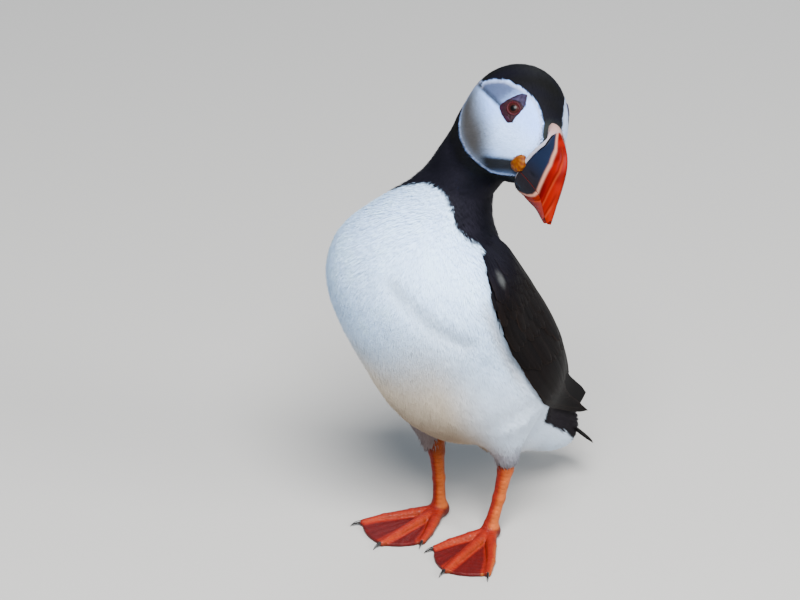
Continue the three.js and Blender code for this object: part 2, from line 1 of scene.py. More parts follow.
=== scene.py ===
"""Atlantic puffin, dressed: one skin, a coat of mesh feathers, horn, eyes and webbed feet.

Shapes are worked out in millimetres in the bird's own frame (facing -Y, its left side +X) and moved
into the shared frame when a mesh is made. Places on the head are forward, left and up from its middle.
"""
import math

import bpy
import numpy as np
import openvdb as vdb
from mathutils import Matrix
from mathutils.kdtree import KDTree


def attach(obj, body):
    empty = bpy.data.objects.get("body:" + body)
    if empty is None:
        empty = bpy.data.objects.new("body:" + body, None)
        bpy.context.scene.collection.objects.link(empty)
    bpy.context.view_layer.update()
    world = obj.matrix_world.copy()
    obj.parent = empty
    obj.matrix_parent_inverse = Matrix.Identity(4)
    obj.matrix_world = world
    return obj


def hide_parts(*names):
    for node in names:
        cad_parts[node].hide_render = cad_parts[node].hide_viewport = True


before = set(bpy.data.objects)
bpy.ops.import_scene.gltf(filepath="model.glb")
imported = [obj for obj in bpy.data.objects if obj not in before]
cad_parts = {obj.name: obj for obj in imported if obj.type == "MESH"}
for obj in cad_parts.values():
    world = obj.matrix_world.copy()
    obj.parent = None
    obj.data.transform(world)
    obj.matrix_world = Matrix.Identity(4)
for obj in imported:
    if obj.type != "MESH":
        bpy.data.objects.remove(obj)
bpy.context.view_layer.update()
rng = np.random.default_rng(7)

SHIFT = np.array([-12.6, -3.8, 0.0])
SIDES = {"left": 1, "right": -1}
FAR = 1e9


# --- small helpers
def vec(*v):
    return np.array(v, float)


def norm(v):
    return np.linalg.norm(v, axis=-1)


def unit(v):
    return v / np.maximum(np.linalg.norm(v, axis=-1, keepdims=True), 1e-9)


def ramp(x, low, high):
    """0 up to low, 1 from high on, smooth between."""
    t = np.clip((x - low) / (high - low), 0, 1)
    return t * t * (3 - 2 * t)


def bell(x, width):
    """1 at zero, falling off on both sides."""
    return np.exp(-(x / width) ** 2)


def mix(a, b, t):
    return a + (b - a) * t


def table(x, pairs):
    xs, ys = zip(*sorted(pairs))
    return np.interp(x, xs, ys)


def circle(count):
    """Angles of a full turn, evenly spaced."""
    return np.linspace(0, 2 * math.pi, count, endpoint=False)


def lattice(a, b):
    return np.meshgrid(a, b, indexing="ij")


def ripple(p, size, seed, count=6):
    """Smooth random field between about -1 and 1 with features of the given size."""
    r = np.random.default_rng(seed)
    total = 0
    for _ in range(count):
        wave = unit(r.normal(size=3)) * 2 * math.pi / (size * r.uniform(0.7, 1.6))
        total = total + np.sin(p @ wave + r.uniform(0, 6.283))
    return total / count ** 0.5 / 1.2


def nearest_along(p, line):
    """Distance to a line of points, and how far along it the nearest place is."""
    best, place, done = np.full(len(p), FAR), np.zeros(len(p)), 0.0
    for a, b in zip(line, line[1:]):
        ab = b - a
        size = np.linalg.norm(ab)
        t = np.clip((p - a) @ ab / (ab @ ab), 0, 1)
        d = norm(p - a - t[:, None] * ab)
        place = np.where(d < best, done + t * size, place)
        best = np.minimum(best, d)
        done += size
    return best, place


def bisect(field, spot, level, count, high, rounds):
    """Spots along parallel lines where the field reaches the level."""
    low, high = np.zeros(count), np.full(count, high)
    for _ in range(rounds):
        middle = (low + high) / 2
        inside = field(spot(middle)) < level
        low, high = np.where(inside, middle, low), np.where(inside, high, middle)
    return spot(low)


# --- colours
def linear(code):
    """Linear RGB of an sRGB hex colour."""
    c = np.array([int(code[i:i + 2], 16) / 255 for i in (0, 2, 4)])
    return np.where(c <= 0.04045, c / 12.92, ((c + 0.055) / 1.055) ** 2.4)


PAINT = {name: linear(code) for name, code in dict(
    snow="c0deff", cream="cfc2ae", belly_stain_and_shade="756350", flank_stain_and_shade="8a7c6c", fold="8f8c88", thigh="6c6064",
    ink="0f0f16", soot="17161e", back_brown="211a17", crown="06060b", crown_sheen="0d0d15", forehead="2b302e",
    face="92b8fc", far_cheek="a4b2c8", wedge="3b435d", cheek_grey_and_shade="454343", face_rim="8f93a8", crease="2b2f38",
    gape_grey_and_shadow="202123", wing="070607", wing_brown="0e0a09", wing_edge="211813", shaft="0c0a0b",
    shoulder="4c4e4e", wing_base="080708", tail="0d0b0d", tail_edge="34291f", plate="101728",
    plate_low_shade="161418", plate_sheen="182238", red="680400", red_deep="520100", red_tip="7c1600",
    red_shade="380402", red_lower="701903", lower_tip="5e2525", groove="440602", groove_highlight="98401f",
    ridge="966a5a", slit="0d0e14", mouth="5a1a14", rim_side="84838e", rim_top="836862", rim_low="8a8280",
    rim_edge="6e6670", rosette="4c1c00", rosette_fold_highlight="663800", pupil="030304", iris="1c0a0a",
    iris_light="38140f", eye_white="0e0608", lid="1c0309", lid_light="3c0912", lid_outer="16060c",
    upper="15111d", upper_light="2a253a", lower="14070f", lower_light="261220", patch="10040a",
    patch_light="200812", leg="741900", web="480a00", leg_highlight="b8652c", scale_gap="4e0e00", ankle="702a0c",
    claw="2b2523", claw_tip="0c0b0c").items()}


def blend_colour(a, b, t):
    return a + (b - a) * np.asarray(t)[..., None]


def tint(colour, name, amount):
    """A colour, or the named paint, moved towards another named paint."""
    return blend_colour(PAINT[colour] if isinstance(colour, str) else colour, PAINT[name], amount)


# --- the body's form
def smooth_min(a, b, reach):
    h = np.maximum(reach - np.abs(a - b), 0) / reach
    return np.minimum(a, b) - h * h * reach / 4


def ellipsoid(p, centre, radii, lean=0.0):
    s, c = math.sin(math.radians(lean)), math.cos(math.radians(lean))
    d = p - centre
    q = np.stack([d[:, 0], c * d[:, 1] + s * d[:, 2], c * d[:, 2] - s * d[:, 1]], 1) / radii
    k0 = norm(q)
    k1 = norm(q / radii)
    return k0 * (k0 - 1) / np.maximum(k1, 1e-9)


def capsule(p, a, b, ra, rb):
    ab = b - a
    t = np.clip((p - a) @ ab / (ab @ ab), 0, 1)
    return norm(p - a - t[:, None] * ab) - mix(ra, rb, t)


def chain(p, line, radii, reach):
    """Capsules end to end along a line, blended over the reach."""
    d = np.full(len(p), FAR)
    for a, b, ra, rb in zip(line, line[1:], radii, radii[1:]):
        d = smooth_min(d, capsule(p, a, b, ra, rb), reach)
    return d


HEAD_CENTRE = vec(29, -6.2, 184.5)


def head_axes(turn=math.radians(69.6), nod=math.radians(14.5), tilt=math.radians(24.4)):
    forward = vec(math.sin(turn) * math.cos(nod), -math.cos(turn) * math.cos(nod), -math.sin(nod))
    level_up = unit(vec(0, 0, 1) + forward * math.sin(nod))
    up = level_up * math.cos(tilt) + np.cross(level_up, forward) * math.sin(tilt)
    return np.stack([forward, np.cross(up, forward), up], 1)


HEAD_AXES = head_axes()
NECK = [(vec(0, -16.5, 138), 18), (vec(8.6, -13.2, 158), 13.6), (vec(17.9, -8.5, 174), 14.2)]
THIGHS = [(vec(-20.5, -4.5, 56), vec(-15.2, -4.0, 33.8)), (vec(18.3, -0.5, 56), vec(18.1, 3.2, 36.2))]
CREASE = [(9, 8.4), (1.8, 8.1), (-4, 7.3), (-9.9, 6.0), (-14, 4.5)]
BREAST_FOLD = np.array([(14, -56, 124), (19.9, -54.6, 119.8), (25.6, -51.6, 113.9), (31, -46.1, 108),
                        (36, -38, 102)], float)


def to_head(p):
    return (p - HEAD_CENTRE) @ HEAD_AXES


def from_head(q):
    return np.asarray(q, float) @ HEAD_AXES.T + HEAD_CENTRE


def head_field(q):
    skull = ellipsoid(q, vec(0, 0, 0), vec(20.5, 19, 22.2))
    face = ellipsoid(q, vec(10.3, 0, -0.6), vec(16.3, 12.8, 17))
    return smooth_min(skull, face, 6)


def bird_field(p):
    d = smooth_min(ellipsoid(p, vec(0, -27, 114), vec(40.5, 31, 35), 26),
                   ellipsoid(p, vec(0, -7, 81), vec(37, 34, 42), 28), 20)
    d = smooth_min(d, ellipsoid(p, vec(0, 4, 84), vec(30, 22, 44), 30), 14)
    for a, b, ra, rb, reach in ((vec(0, 9, 67), vec(0, 47, 30), 23.5, 9.5, 14),
                                (vec(0, 45, 31), vec(0, 57, 19.5), 7.5, 1.6, 6),
                                (vec(0, 21, 38.5), vec(0, 50, 26.5), 12.5, 4.8, 15)):
        d = smooth_min(d, capsule(p, a, b, ra, rb), reach)
    neck = np.minimum(*[capsule(p, a[0], b[0], a[1], b[1]) for a, b in zip(NECK, NECK[1:])])
    return smooth_min(smooth_min(d, neck, 16), head_field(to_head(p)), 7)


def thigh_field(p):
    return np.minimum(*[capsule(p, hip, knee, 14.2, 4.9) for hip, knee in THIGHS])


def crease_distance(q):
    """Height above the crease that runs back from the eye."""
    return q[:, 2] - table(q[:, 0], CREASE)


def fold_distance(p):
    return nearest_along(p, BREAST_FOLD)[0]


def plumage(p):
    """The outside of the whole coat, with the crease behind the eye and the soft fold of the breast."""
    q = to_head(p)
    crease = 0.45 * bell(crease_distance(q), 0.9)
    crease = crease * ramp(-q[:, 0], -9.5, -6.5) * ramp(q[:, 0], -13, -9) * ramp(np.abs(q[:, 1]), 8, 12)
    return smooth_min(bird_field(p), thigh_field(p), 5) + crease + 1.6 * bell(fold_distance(p), 3.6)


def wing_bed(p):
    return smooth_min(bird_field(p), capsule(p, vec(0, 18, 80), vec(0, 62, 34), 20, 9.5), 10)


CORNERS = np.array([[1, -1, -1], [-1, -1, 1], [-1, 1, -1], [1, 1, 1]], float)


def outward(field, p, h=0.3):
    return unit(sum(e * field(p + e * h)[:, None] for e in CORNERS))


def settle(field, p, level=0.0, rounds=2):
    """Moves points along the normal until the field has the wanted value."""
    for _ in range(rounds):
        p = p - outward(field, p) * (field(p) - level)[:, None]
    return p


def coat_depth(p):
    return mix(0.8, 2.3, ramp(norm(p - HEAD_CENTRE), 20, 48))


# --- wing outline, in side view
LEADING = np.array([(-20, 138), (-28, 130), (-29.2, 118.5), (-25, 107.5), (-15.4, 92.5), (-4.4, 76.6), (8, 63.5),
                    (26, 51.5), (44, 41.2), (57, 34.6)], float)
REAR = np.array([(-13, 140), (-5, 132), (2, 122), (10, 109), (19, 95), (27.6, 81.5), (34.2, 69), (41.5, 58.5),
                 (53, 48), (62, 36.6)], float)
WING_LOOP = np.concatenate([LEADING, REAR[::-1], LEADING[:1]])


def wing_plane(s, v):
    """Side-view place on the folded wing: s from shoulder to tip, v from the lower to the upper edge."""
    k = np.linspace(0, 1, len(LEADING))
    low, high = (np.stack([np.interp(s, k, line[:, i]) for i in (0, 1)], -1) for line in (LEADING, REAR))
    return low + (high - low) * np.asarray(v)[..., None]


def inside_wing(p, margin):
    y, z = p[:, 1], p[:, 2]
    inside = np.zeros(len(p), bool)
    for a, b in zip(WING_LOOP, WING_LOOP[1:]):
        crosses = (a[1] > z) != (b[1] > z)
        with np.errstate(divide="ignore", invalid="ignore"):
            at = (b[0] - a[0]) * (z - a[1]) / (b[1] - a[1]) + a[0]
        inside ^= crosses & (y < at)
    return inside & (nearest_along(p[:, 1:], WING_LOOP)[0] > margin) & (np.abs(p[:, 0]) > 9)


def leading_distance(p):
    """Distance from the folded wing's leading edge on the flanks, in side view."""
    return nearest_along(p[:, 1:], LEADING)[0] + 99 * (np.abs(p[:, 0]) < 12)


# --- markings
FACE_CENTRE, FACE_SIZE = vec(10.0, 0.0), vec(22.0, 17.7)
BROW = [(-10, 15.6), (-4.2, 14.7), (2.9, 12.0), (7.7, 9.3), (11.8, 7.1), (16.3, 5.5), (20, 4.8), (25, 4.5)]
CHIN = [(-18, 7.4), (-15.7, 6.7), (-12, 5.0), (-8, 0)]
COLLAR = [(-180, 118), (-80, 136), (-60, 148), (-39.5, 152.4), (-16.3, 155.4), (5.1, 157.4), (30, 156.8),
          (39, 154.6), (42.4, 152), (43.2, 148.6), (44.6, 145.8), (52, 142.0), (62.8, 138.2), (71.6, 135.6),
          (84, 130), (180, 118)]
MANTLE = [(30, 38), (41, 24), (45, 24), (60, 22), (75, 14), (90, 2), (105, -8), (120, -16), (133, -21),
          (150, -28)]


def on_head(p):
    """1 on the head, 0 from the neck down."""
    return ramp(-norm(to_head(p)), -29, -24)


def face_place(q):
    """Distance from the middle of the face disc in disc radii, 1 on its rim."""
    x, y, z = q.T
    around = (q[:, [0, 2]] - FACE_CENTRE) / FACE_SIZE
    disc = norm(around)
    disc = disc * (1 - 0.10 * ramp(-around[:, 0], 0.55, 0.95) * ramp(z, -10.5, -4))
    brow = np.where(z > 3 + 4.4 * ramp(-x, 4, 10), 1 + (table(x, BROW) - np.abs(y)) / 18, 0)
    chin = np.where(z < -8, 1 + (table(z, CHIN) - np.abs(y)) / 18, 0)
    return np.maximum(np.maximum(disc, brow), chin)


def black_amount(p):
    """1 where the body is black: collar, mantle, rump; 0 on breast, belly and under the tail."""
    x, y, z = p.T
    edge = ripple(p, 5, 3) * 0.3
    collar = ramp(z - table(np.degrees(np.arctan2(x - 3, -(y + 12))), COLLAR) + edge, -0.6, 0.6)
    mantle = ramp(y - table(z, MANTLE) + edge, -0.7, 0.7)
    above_tail = ramp(z - (41.6 - 0.74 * (y - 28)) + edge, -1.5, 0)
    return np.maximum(np.maximum(collar, mantle * above_tail), inside_wing(p, 0.6))


def body_colour(p):
    x, y, z = p.T
    # the flanks keep less cream and stain: partly cleaner feathers, partly painted light where the flanks face the
    # key lamp
    flank = ramp(np.abs(x) + 0.4 * y, 4, 26)
    # cream towards the bottom of the body: partly the plumage's own tint, partly painted shade under the body
    white = tint("snow", "cream", ramp(ripple(p, 60, 5) * 12 - z, -118, -60) * mix(1, 0.35, flank))
    # browner and darker low on the belly: partly stain, partly painted shade under the body
    white = tint(white, "belly_stain_and_shade", 0.82 * ramp(-z, -74, -48) * (1 - flank))
    # greyer along the breast's fold: painted shade in the fold
    white = tint(white, "fold", 0.30 * bell(fold_distance(p), 4.5))
    # brownish band along the wing's front edge: partly stain, partly painted shade beside the wing
    band_beside_wing = bell(leading_distance(p) - 2.5, 2.6) * ramp(-z, -124, -112) * ramp(z, 66, 84)
    white = tint(white, "flank_stain_and_shade", 0.5 * band_beside_wing)
    # grey thighs: the grey is the plumage's own, the extra grey higher up on the right thigh is painted shade
    left = ramp(x, -8, 8)
    thigh = ramp(-thigh_field(p), -4, 1) * ramp(-z, mix(-54, -46, left), mix(-43, -36, left))
    white = tint(white, "thigh", thigh * mix(0.85, 0.75, left))
    white = white * (1 + 0.04 * ripple(p, 9, 11))[:, None]
    black = tint("ink", "soot", 0.5 + 0.5 * ripple(p, 14, 4))
    black = tint(black, "back_brown", 0.3 * (ramp(y, -12, 12) * ramp(-z, -150, -120)))
    return blend_colour(white, black, black_amount(p))


def face_colour(q):
    x, y, z = q.T
    place = face_place(q)
    pale = tint("face", "snow", 0.6 * ramp(x, 3, 15) * ramp(-np.abs(z + 1), -12, -3))
    pale = tint(pale, "far_cheek", 0.85 * ramp(y, -2, 6))
    above = crease_distance(q)
    pale = tint(pale, "wedge", 0.95 * (ramp(above, -0.3, 0.8) * ramp(-x, -12.5, -3) * ramp(1 - place, 0.0, 0.08)))
    # grey towards the lower rear of the face: partly the cheek's own grey, partly painted shade on the side turned
    # from the light
    below = 0.35 * (8 - x) - 0.94 * z
    shade = ramp(below, -4.5, 9.5) * ramp(-x, -16, -4) * mix(1, 0.6, ramp(place, 0.72, 0.95))
    shade = 0.96 * shade * ramp(-place, -0.99, -0.94)
    pale = pale * (PAINT["cheek_grey_and_shade"] / pale) ** shade[:, None]
    # dark line along the crease behind the eye: painted shade in the crease
    pale = tint(pale, "crease", 0.96 * (bell(above, 0.8) * ramp(-x, -9.8, -8) * ramp(np.abs(y), 8, 12)))
    # dark band under a line running back from the gape: partly the cheek's own grey, partly painted shadow
    under_gape = -5.4 - 0.68 * (20.0 - x) - z
    line = ramp(under_gape, -1.2, 1.3) * ramp(-under_gape, -12, -4) * ramp(x, 6, 11)
    pale = tint(pale, "gape_grey_and_shadow", 0.99 * line * ramp(-place, -0.98, -0.90))
    return tint(pale, "face_rim", 0.6 * bell(place - 0.965, 0.03))


def colour_at(p):
    q = to_head(p)
    head = on_head(p)
    face = ramp(1 + ripple(p, 3, 8) * 0.012 - face_place(q), -0.018, 0.018) * head
    # patches of painted sheen scattered over the black crown
    crown = tint("crown", "crown_sheen", 0.4 + 0.4 * ripple(p, 12, 9))
    crown = tint(crown, "forehead", 0.55 * ramp(q[:, 0], 17.5, 21.5))
    rest = blend_colour(body_colour(p), crown, head)
    return np.clip(blend_colour(rest, face_colour(q), face), 0.004, 1)


def face_amount(p):
    return ramp(1 - face_place(to_head(p)), -0.02, 0.02) * on_head(p)


# --- materials
def node_material(name):
    material = bpy.data.materials.new(name)
    material.use_nodes = True
    nodes, links = material.node_tree.nodes, material.node_tree.links
    return material, nodes, links, nodes["Principled BSDF"]


def painted(name, roughness, detail=0.1, grain=1200, specular=0.5, relief=None, strength=0.15, scale=900,
            subsurface=0.0):
    """Colour from the mesh's painted attribute, broken up by fine noise, with bumps, cells or barbs."""
    material, nodes, links, shader = node_material(name)

    def add(kind, inputs, **settings):
        node = nodes.new("ShaderNode" + kind)
        for key, value in settings.items():
            setattr(node, key, value)
        for key, value in inputs.items():
            if isinstance(value, bpy.types.NodeSocket):
                links.new(value, node.inputs[key])
            else:
                node.inputs[key].default_value = value
        return node.outputs

    where = add("TexCoord", {})["Object"]
    noise = add("TexNoise", {"Scale": grain, "Detail": 3, "Vector": where})["Fac"]
    spread = add("MapRange", {"To Min": 1 - detail, "To Max": 1 + detail, "Value": noise})["Result"]
    paint = add("Attribute", {}, attribute_name="Col")["Color"]
    tone = add("VectorMath", {0: paint, "Scale": spread}, operation="SCALE")["Vector"]
    links.new(tone, shader.inputs["Base Color"])
    if relief == "cells":
        edge = add("TexVoronoi", {"Scale": scale, "Vector": where}, feature="DISTANCE_TO_EDGE")["Distance"]
        height = add("MapRange", {"From Max": 0.12, "Value": edge})["Result"]
    elif relief == "barbs":
        line = add("Attribute", {}, attribute_name="Barb")["Fac"]
        height = add("Math", {0: line}, operation="SINE")["Value"]
    elif relief == "bumps":
        height = add("TexNoise", {"Scale": scale, "Detail": 4, "Vector": where})["Fac"]
    if relief:
        bump = add("Bump", {"Strength": strength, "Distance": 0.0002, "Height": height})["Normal"]
        links.new(bump, shader.inputs["Normal"])
    settings = {"Roughness": roughness, "Specular IOR Level": specular}
    if subsurface:
        settings.update({"Subsurface Weight": subsurface, "Subsurface Radius": (0.6, 0.25, 0.15),
                         "Subsurface Scale": 0.002})
    for key, value in settings.items():
        shader.inputs[key].default_value = value
    return material


DOWN = painted("plumage_soft", 0.85, detail=0.04, specular=0.06)
SLEEK = painted("plumage_black", 0.6, detail=0.15, specular=0.04)
VANE = painted("flight_feathers", 0.5, detail=0.2, grain=500, specular=0.02, relief="barbs")
SKIN = painted("skin", 0.9, specular=0.1)
HORN = painted("bill_horn", 0.45, detail=0.12, grain=260, specular=0.04, relief="bumps", strength=0.2, scale=420)
FLESH = painted("bare_flesh", 0.55, detail=0.12, grain=900, specular=0.1, relief="bumps", strength=0.5,
                scale=1300, subsurface=0.15)
EYE = painted("eye_gloss", 0.3, detail=0.0, specular=0.1)
SCALY = painted("leg_skin", 0.42, detail=0.16, grain=350, specular=0.12, relief="cells", strength=0.55, scale=950)
CLAW = painted("claw_horn", 0.3, detail=0.2, grain=600, relief="bumps", strength=0.2, scale=700)


# --- meshes
def link(name, data):
    made = bpy.data.objects.new(name, data)
    bpy.context.scene.collection.objects.link(made)
    return made


def mesh_object(name, points, faces, material, colour, nodes=(), uv=None, normals=None, barb=None):
    """One piece from arrays: points in bird millimetres, faces all of one corner count."""
    mesh = bpy.data.meshes.new(name)
    points = points.reshape(-1, 3)
    corners = faces.shape[-1]
    loops = faces.astype(np.int32).ravel()
    count = len(loops) // corners
    mesh.vertices.add(len(points))
    mesh.vertices.foreach_set("co", ((points + SHIFT) / 1000).astype(np.float32).ravel())
    mesh.loops.add(len(loops))
    mesh.loops.foreach_set("vertex_index", loops)
    mesh.polygons.add(count)
    mesh.polygons.foreach_set("loop_start", np.arange(0, len(loops), corners, dtype=np.int32))
    mesh.polygons.foreach_set("use_smooth", np.ones(count, bool))
    mesh.update(calc_edges=True)
    rgba = np.ones((len(points), 4), np.float32)
    rgba[:, :3] = colour.reshape(-1, 3)
    mesh.color_attributes.new("Col", "FLOAT_COLOR", "POINT").data.foreach_set("color", rgba.ravel())
    if uv is not None:
        places = uv.reshape(-1, 2)[loops].astype(np.float32)
        mesh.uv_layers.new(name="OFBake").uv.foreach_set("vector", places.ravel())
    if barb is not None:
        barbs = barb.astype(np.float32).ravel()
        mesh.attributes.new("Barb", "FLOAT", "POINT").data.foreach_set("value", barbs)
    if normals is not None:
        mesh.normals_split_custom_set_from_vertices(normals.astype(np.float32))
    mesh.materials.append(material)
    piece = link(name, mesh)
    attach(piece, "root")
    if nodes:
        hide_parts(*nodes)


def grid_faces(rows, columns, wrap=False):
    j = np.arange(columns if wrap else columns - 1)
    i = np.arange(rows - 1)[:, None]
    a = i * columns + j
    b = i * columns + (j + 1) % columns
    return np.stack([a, b, b + columns, a + columns], -1).reshape(-1, 4)


def many_grids(count, rows, columns):
    return np.arange(count)[:, None, None] * (rows * columns) + grid_faces(rows, columns)[None]


def surface_of(field, low, high, voxel, rounds=3):
    """Quad mesh of a field's zero surface inside a box."""
    axes = [np.arange(a, b, voxel) for a, b in zip(low, high)]
    points = np.stack(np.meshgrid(*axes, indexing="ij"), -1).reshape(-1, 3)
    values = np.concatenate([field(part) for part in np.array_split(points, 24)])
    grid = vdb.FloatGrid(3.0)
    grid.copyFromArray(values.reshape([len(a) for a in axes]).astype(np.float32))
    found, quads = grid.convertToQuads(0.0)
    return settle(field, found * voxel + low, 0.0, rounds), quads[:, ::-1].astype(np.int64)


# --- skin
SPINE = np.array([[0, 58, 18], [0, 44, 33], [0, 26, 49], [0, 8, 68], [0, -8, 94], [0, -16, 122], [2.5, -15.5, 141],
                  [9.5, -12.5, 158], [17.5, -9, 171.5], [29, -6.2, 184.5], [36, -3, 200]], float)


def spine_points(count=70):
    length = np.r_[0, np.cumsum(norm(np.diff(SPINE, axis=0)))]
    s = np.linspace(0, length[-1], count)
    line = np.stack([np.interp(s, length, SPINE[:, k]) for k in range(3)], 1)
    for _ in range(3):
        line[1:-1] = (line[:-2] + 2 * line[1:-1] + line[2:]) / 4
    return line


LINE = spine_points()
LINE_TANGENT = unit(np.gradient(LINE, axis=0))


def along_spine(p):
    """Place along the spine from 0 at the vent to 1 at the crown, with the tangent and spine there."""
    near = norm(p[:, None] - LINE[None])
    weight = np.exp(-((near - near.min(1, keepdims=True)) / 5.0))
    weight /= weight.sum(1, keepdims=True)
    return weight @ np.linspace(0, 1, len(LINE)), unit(weight @ LINE_TANGENT), weight @ LINE


def bake_place(p):
    """Unwrap of the skin's own shape: place along the spine and angle round it."""
    t, tangent, centre = along_spine(p)
    side = unit(vec(1, 0, 0) - tangent * tangent[:, :1])
    front = np.cross(tangent, side)
    spoke = p - centre
    angle = np.arctan2((spoke * side).sum(1), -(spoke * front).sum(1))
    return np.stack([0.02 + 0.96 * (angle / (2 * math.pi) + 0.5), 0.02 + 0.96 * t], 1)


skin_points, skin_quads = surface_of(lambda p: plumage(p) + coat_depth(p), vec(-46, -64, 14), vec(62, 64, 210), 1.3)
mesh_object("skin", skin_points, skin_quads, SKIN, colour_at(skin_points) * 0.8,
            nodes=("trunk", "neck", "head", "thigh_left", "thigh_right"))


# --- coat
EYE_SEAT = vec(11.3, 13.2, 10.8)
BILL_SLANT = 0.17


def rim_back(q):
    """Back edge of the pale rim round the bill's base: further back over the top."""
    return mix(24.2, 17.0, ramp(np.arctan2(q[:, 2] + 1.7, 1.9 * np.abs(q[:, 1])), 0.8, 1.5))


def lie(p, n):
    """Direction in which the feathers lie: away from the bill, along the body, down the thighs."""
    q = to_head(p)
    head = ramp(-norm(q), -34, -20)[:, None]
    tangent = along_spine(p)[1]
    away = unit(q - vec(24, 0, -2)) @ HEAD_AXES.T
    flow = mix(-tangent, away - 0.35 * tangent, head)
    leg = (ramp(-thigh_field(p), -3, 2) * ramp(-p[:, 2], -56, -44))[:, None]
    flow = mix(flow, vec(0, 0.12, -1), leg)
    swirl = (0.16 * ripple(p, 22, 21) + 0.10 * ripple(p, 8, 22))[:, None] * mix(1.0, 0.4, head)
    flow = flow + np.cross(n, flow) * swirl
    return unit(flow - n * (flow * n).sum(1, keepdims=True))


def scatter(count, spacing_of):
    """Roots spread evenly over the skin, as close as the wanted spacing at each place."""
    tri = np.concatenate([skin_quads[:, [0, 1, 2]], skin_quads[:, [0, 2, 3]]])
    a, b, c = (skin_points[tri[:, k]] for k in range(3))
    weight = norm(np.cross(b - a, c - a)) / 2 / spacing_of((a + b + c) / 3) ** 2
    pick = rng.choice(len(tri), count, p=weight / weight.sum())
    r1, r2 = np.sqrt(rng.random(count)), rng.random(count)
    points = (1 - r1)[:, None] * a[pick] + (r1 * (1 - r2))[:, None] * b[pick] + (r1 * r2)[:, None] * c[pick]
    reach = spacing_of(points)
    tree = KDTree(count)
    for i, point in enumerate(points):
        tree.insert(point, i)
    tree.balance()
    alive = np.ones(count, bool)
    for i in range(count):
        if alive[i]:
            for _, j, _ in tree.find_range(points[i], reach[i]):
                if j > i:
                    alive[j] = False
    return points[alive]


def style(p):
    """Feather size by place: spacing, length and half width."""
    q = to_head(p)
    body = ramp(norm(q), 24, 60)
    face = face_amount(p)
    bill = ramp(q[:, 0], 12, 22) * (1 - body)
    dark = black_amount(p) * ramp(-p[:, 2], -150, -128)
    spacing = mix(mix(mix(0.60, 0.50, face), 1.0, body), 1.5, dark)
    length = mix(mix(2.8, 2.2, face), 8.0, body) * (1 - 0.5 * bill)
    width = mix(mix(mix(0.60, 0.48, face), 1.6, body), 2.0, dark)
    return spacing, length, width


def eye_distance(q):
    return norm(np.column_stack([q[:, 0], np.abs(q[:, 1]), q[:, 2]]) - EYE_SEAT)


def hidden(p):
    """Where no feather grows: eye, bill, shank and under the folded wing."""
    q = to_head(p)
    eye = eye_distance(q) < 2.9
    bill = (q[:, 0] - BILL_SLANT * q[:, 2] > rim_back(q) + 0.3) & (norm(q) < 40)
    shank = (p[:, 2] < 30.5) & (np.abs(p[:, 0]) > 8) & (norm(p[:, :2] - [16, 3]) < 3.2)
    return eye | bill | shank | inside_wing(p, 2.6)


def tufts(name, roots, strands, sections, material):
    """Feathers of a few tapering strands each, rooted in the skin and laid along the body."""
    count = len(roots)
    _, length, width = style(roots)
    length = length * rng.uniform(0.8, 1.2, count) * mix(0.4, 1.0, ramp(eye_distance(to_head(roots)), 2.8, 6.5))
    width = width * rng.uniform(0.85, 1.15, count)
    depth = coat_depth(roots)
    n = outward(plumage, roots)
    d = lie(roots, n)
    d = unit(d + np.cross(n, d) * rng.normal(0, 0.10, count)[:, None])
    steps = np.linspace(0, 1, sections + 1)
    centre, normals, forward = [roots - n * 0.15], [n], [d]
    tip_lift = rng.normal(0, 0.07, count) * depth
    for last, step in zip(steps, steps[1:]):
        level = -depth * (1 - step ** 0.7) + tip_lift * step - 0.05
        p = settle(plumage, centre[-1] + forward[-1] * (length * (step - last))[:, None], level, 1)
        n = outward(plumage, p)
        centre.append(p)
        normals.append(n)
        forward.append(unit(forward[-1] - n * (forward[-1] * n).sum(1, keepdims=True)))
    fan = np.interp(steps, [0, 0.4, 1], [0.4, 0.95, 1.05])
    thick = np.interp(steps, [0, 0.4, 0.8, 1], [1.05, 1.3, 0.85, 0.0])
    place = np.linspace(-1, 1, strands) + rng.normal(0, 0.35 / strands, (count, strands))
    reach = 1 - 0.30 * place ** 2 + rng.normal(0, 0.06, (count, strands))
    shade = 1 + rng.normal(0, 0.03, (count, strands)) + rng.normal(0, 0.02, (count, 1))
    spread = np.cross(normals[-1], forward[-1])[:, None] * (place * width[:, None])[..., None]
    visible = mix(centre[-2], centre[-1], 0.6)[:, None] + spread
    base = colour_at(visible.reshape(-1, 3)).reshape(count, strands, 3)
    uv_root = bake_place(roots)
    corners = []
    for k, step in enumerate(steps):
        side = np.cross(normals[k], forward[k])
        offset = place * (width * fan[k])[:, None]
        back = (length * step)[:, None] * (1 - reach)
        spot = centre[k][:, None] - forward[k][:, None] * back[..., None] + side[:, None] * offset[..., None]
        spot = spot - normals[k][:, None] * (offset ** 2 / 50)[..., None]
        half = (width / strands * thick[k])[:, None]
        colour = base * ((0.90 + 0.10 * step) * shade)[..., None]
        for sign in ((-1, 1) if k < sections else (0,)):
            tilt = place * 0.10 + 0.14 * sign
            patch = np.stack([0.0012 * place + 0.0002 * sign, np.full_like(place, 0.003 * (step - 0.5))], -1)
            corners.append((spot + side[:, None] * (half * sign)[..., None],
                            unit(normals[k][:, None] + side[:, None] * tilt[..., None]),
                            colour, uv_root[:, None] + patch))
    ring = len(corners)
    points, shading, colours, uvs = (np.stack(a, 2).reshape(count * strands * ring, -1) for a in zip(*corners))
    strip = []
    for a in range(0, 2 * sections - 2, 2):
        strip += [(a, a + 3, a + 1), (a, a + 2, a + 3)]
    strip.append((ring - 3, ring - 1, ring - 2))
    faces = (np.arange(count * strands)[:, None, None] * ring + np.array(strip)[None]).reshape(-1, 3)
    mesh_object(name, points, faces, material, np.clip(colours, 0.003, 1), uv=uvs, normals=shading)


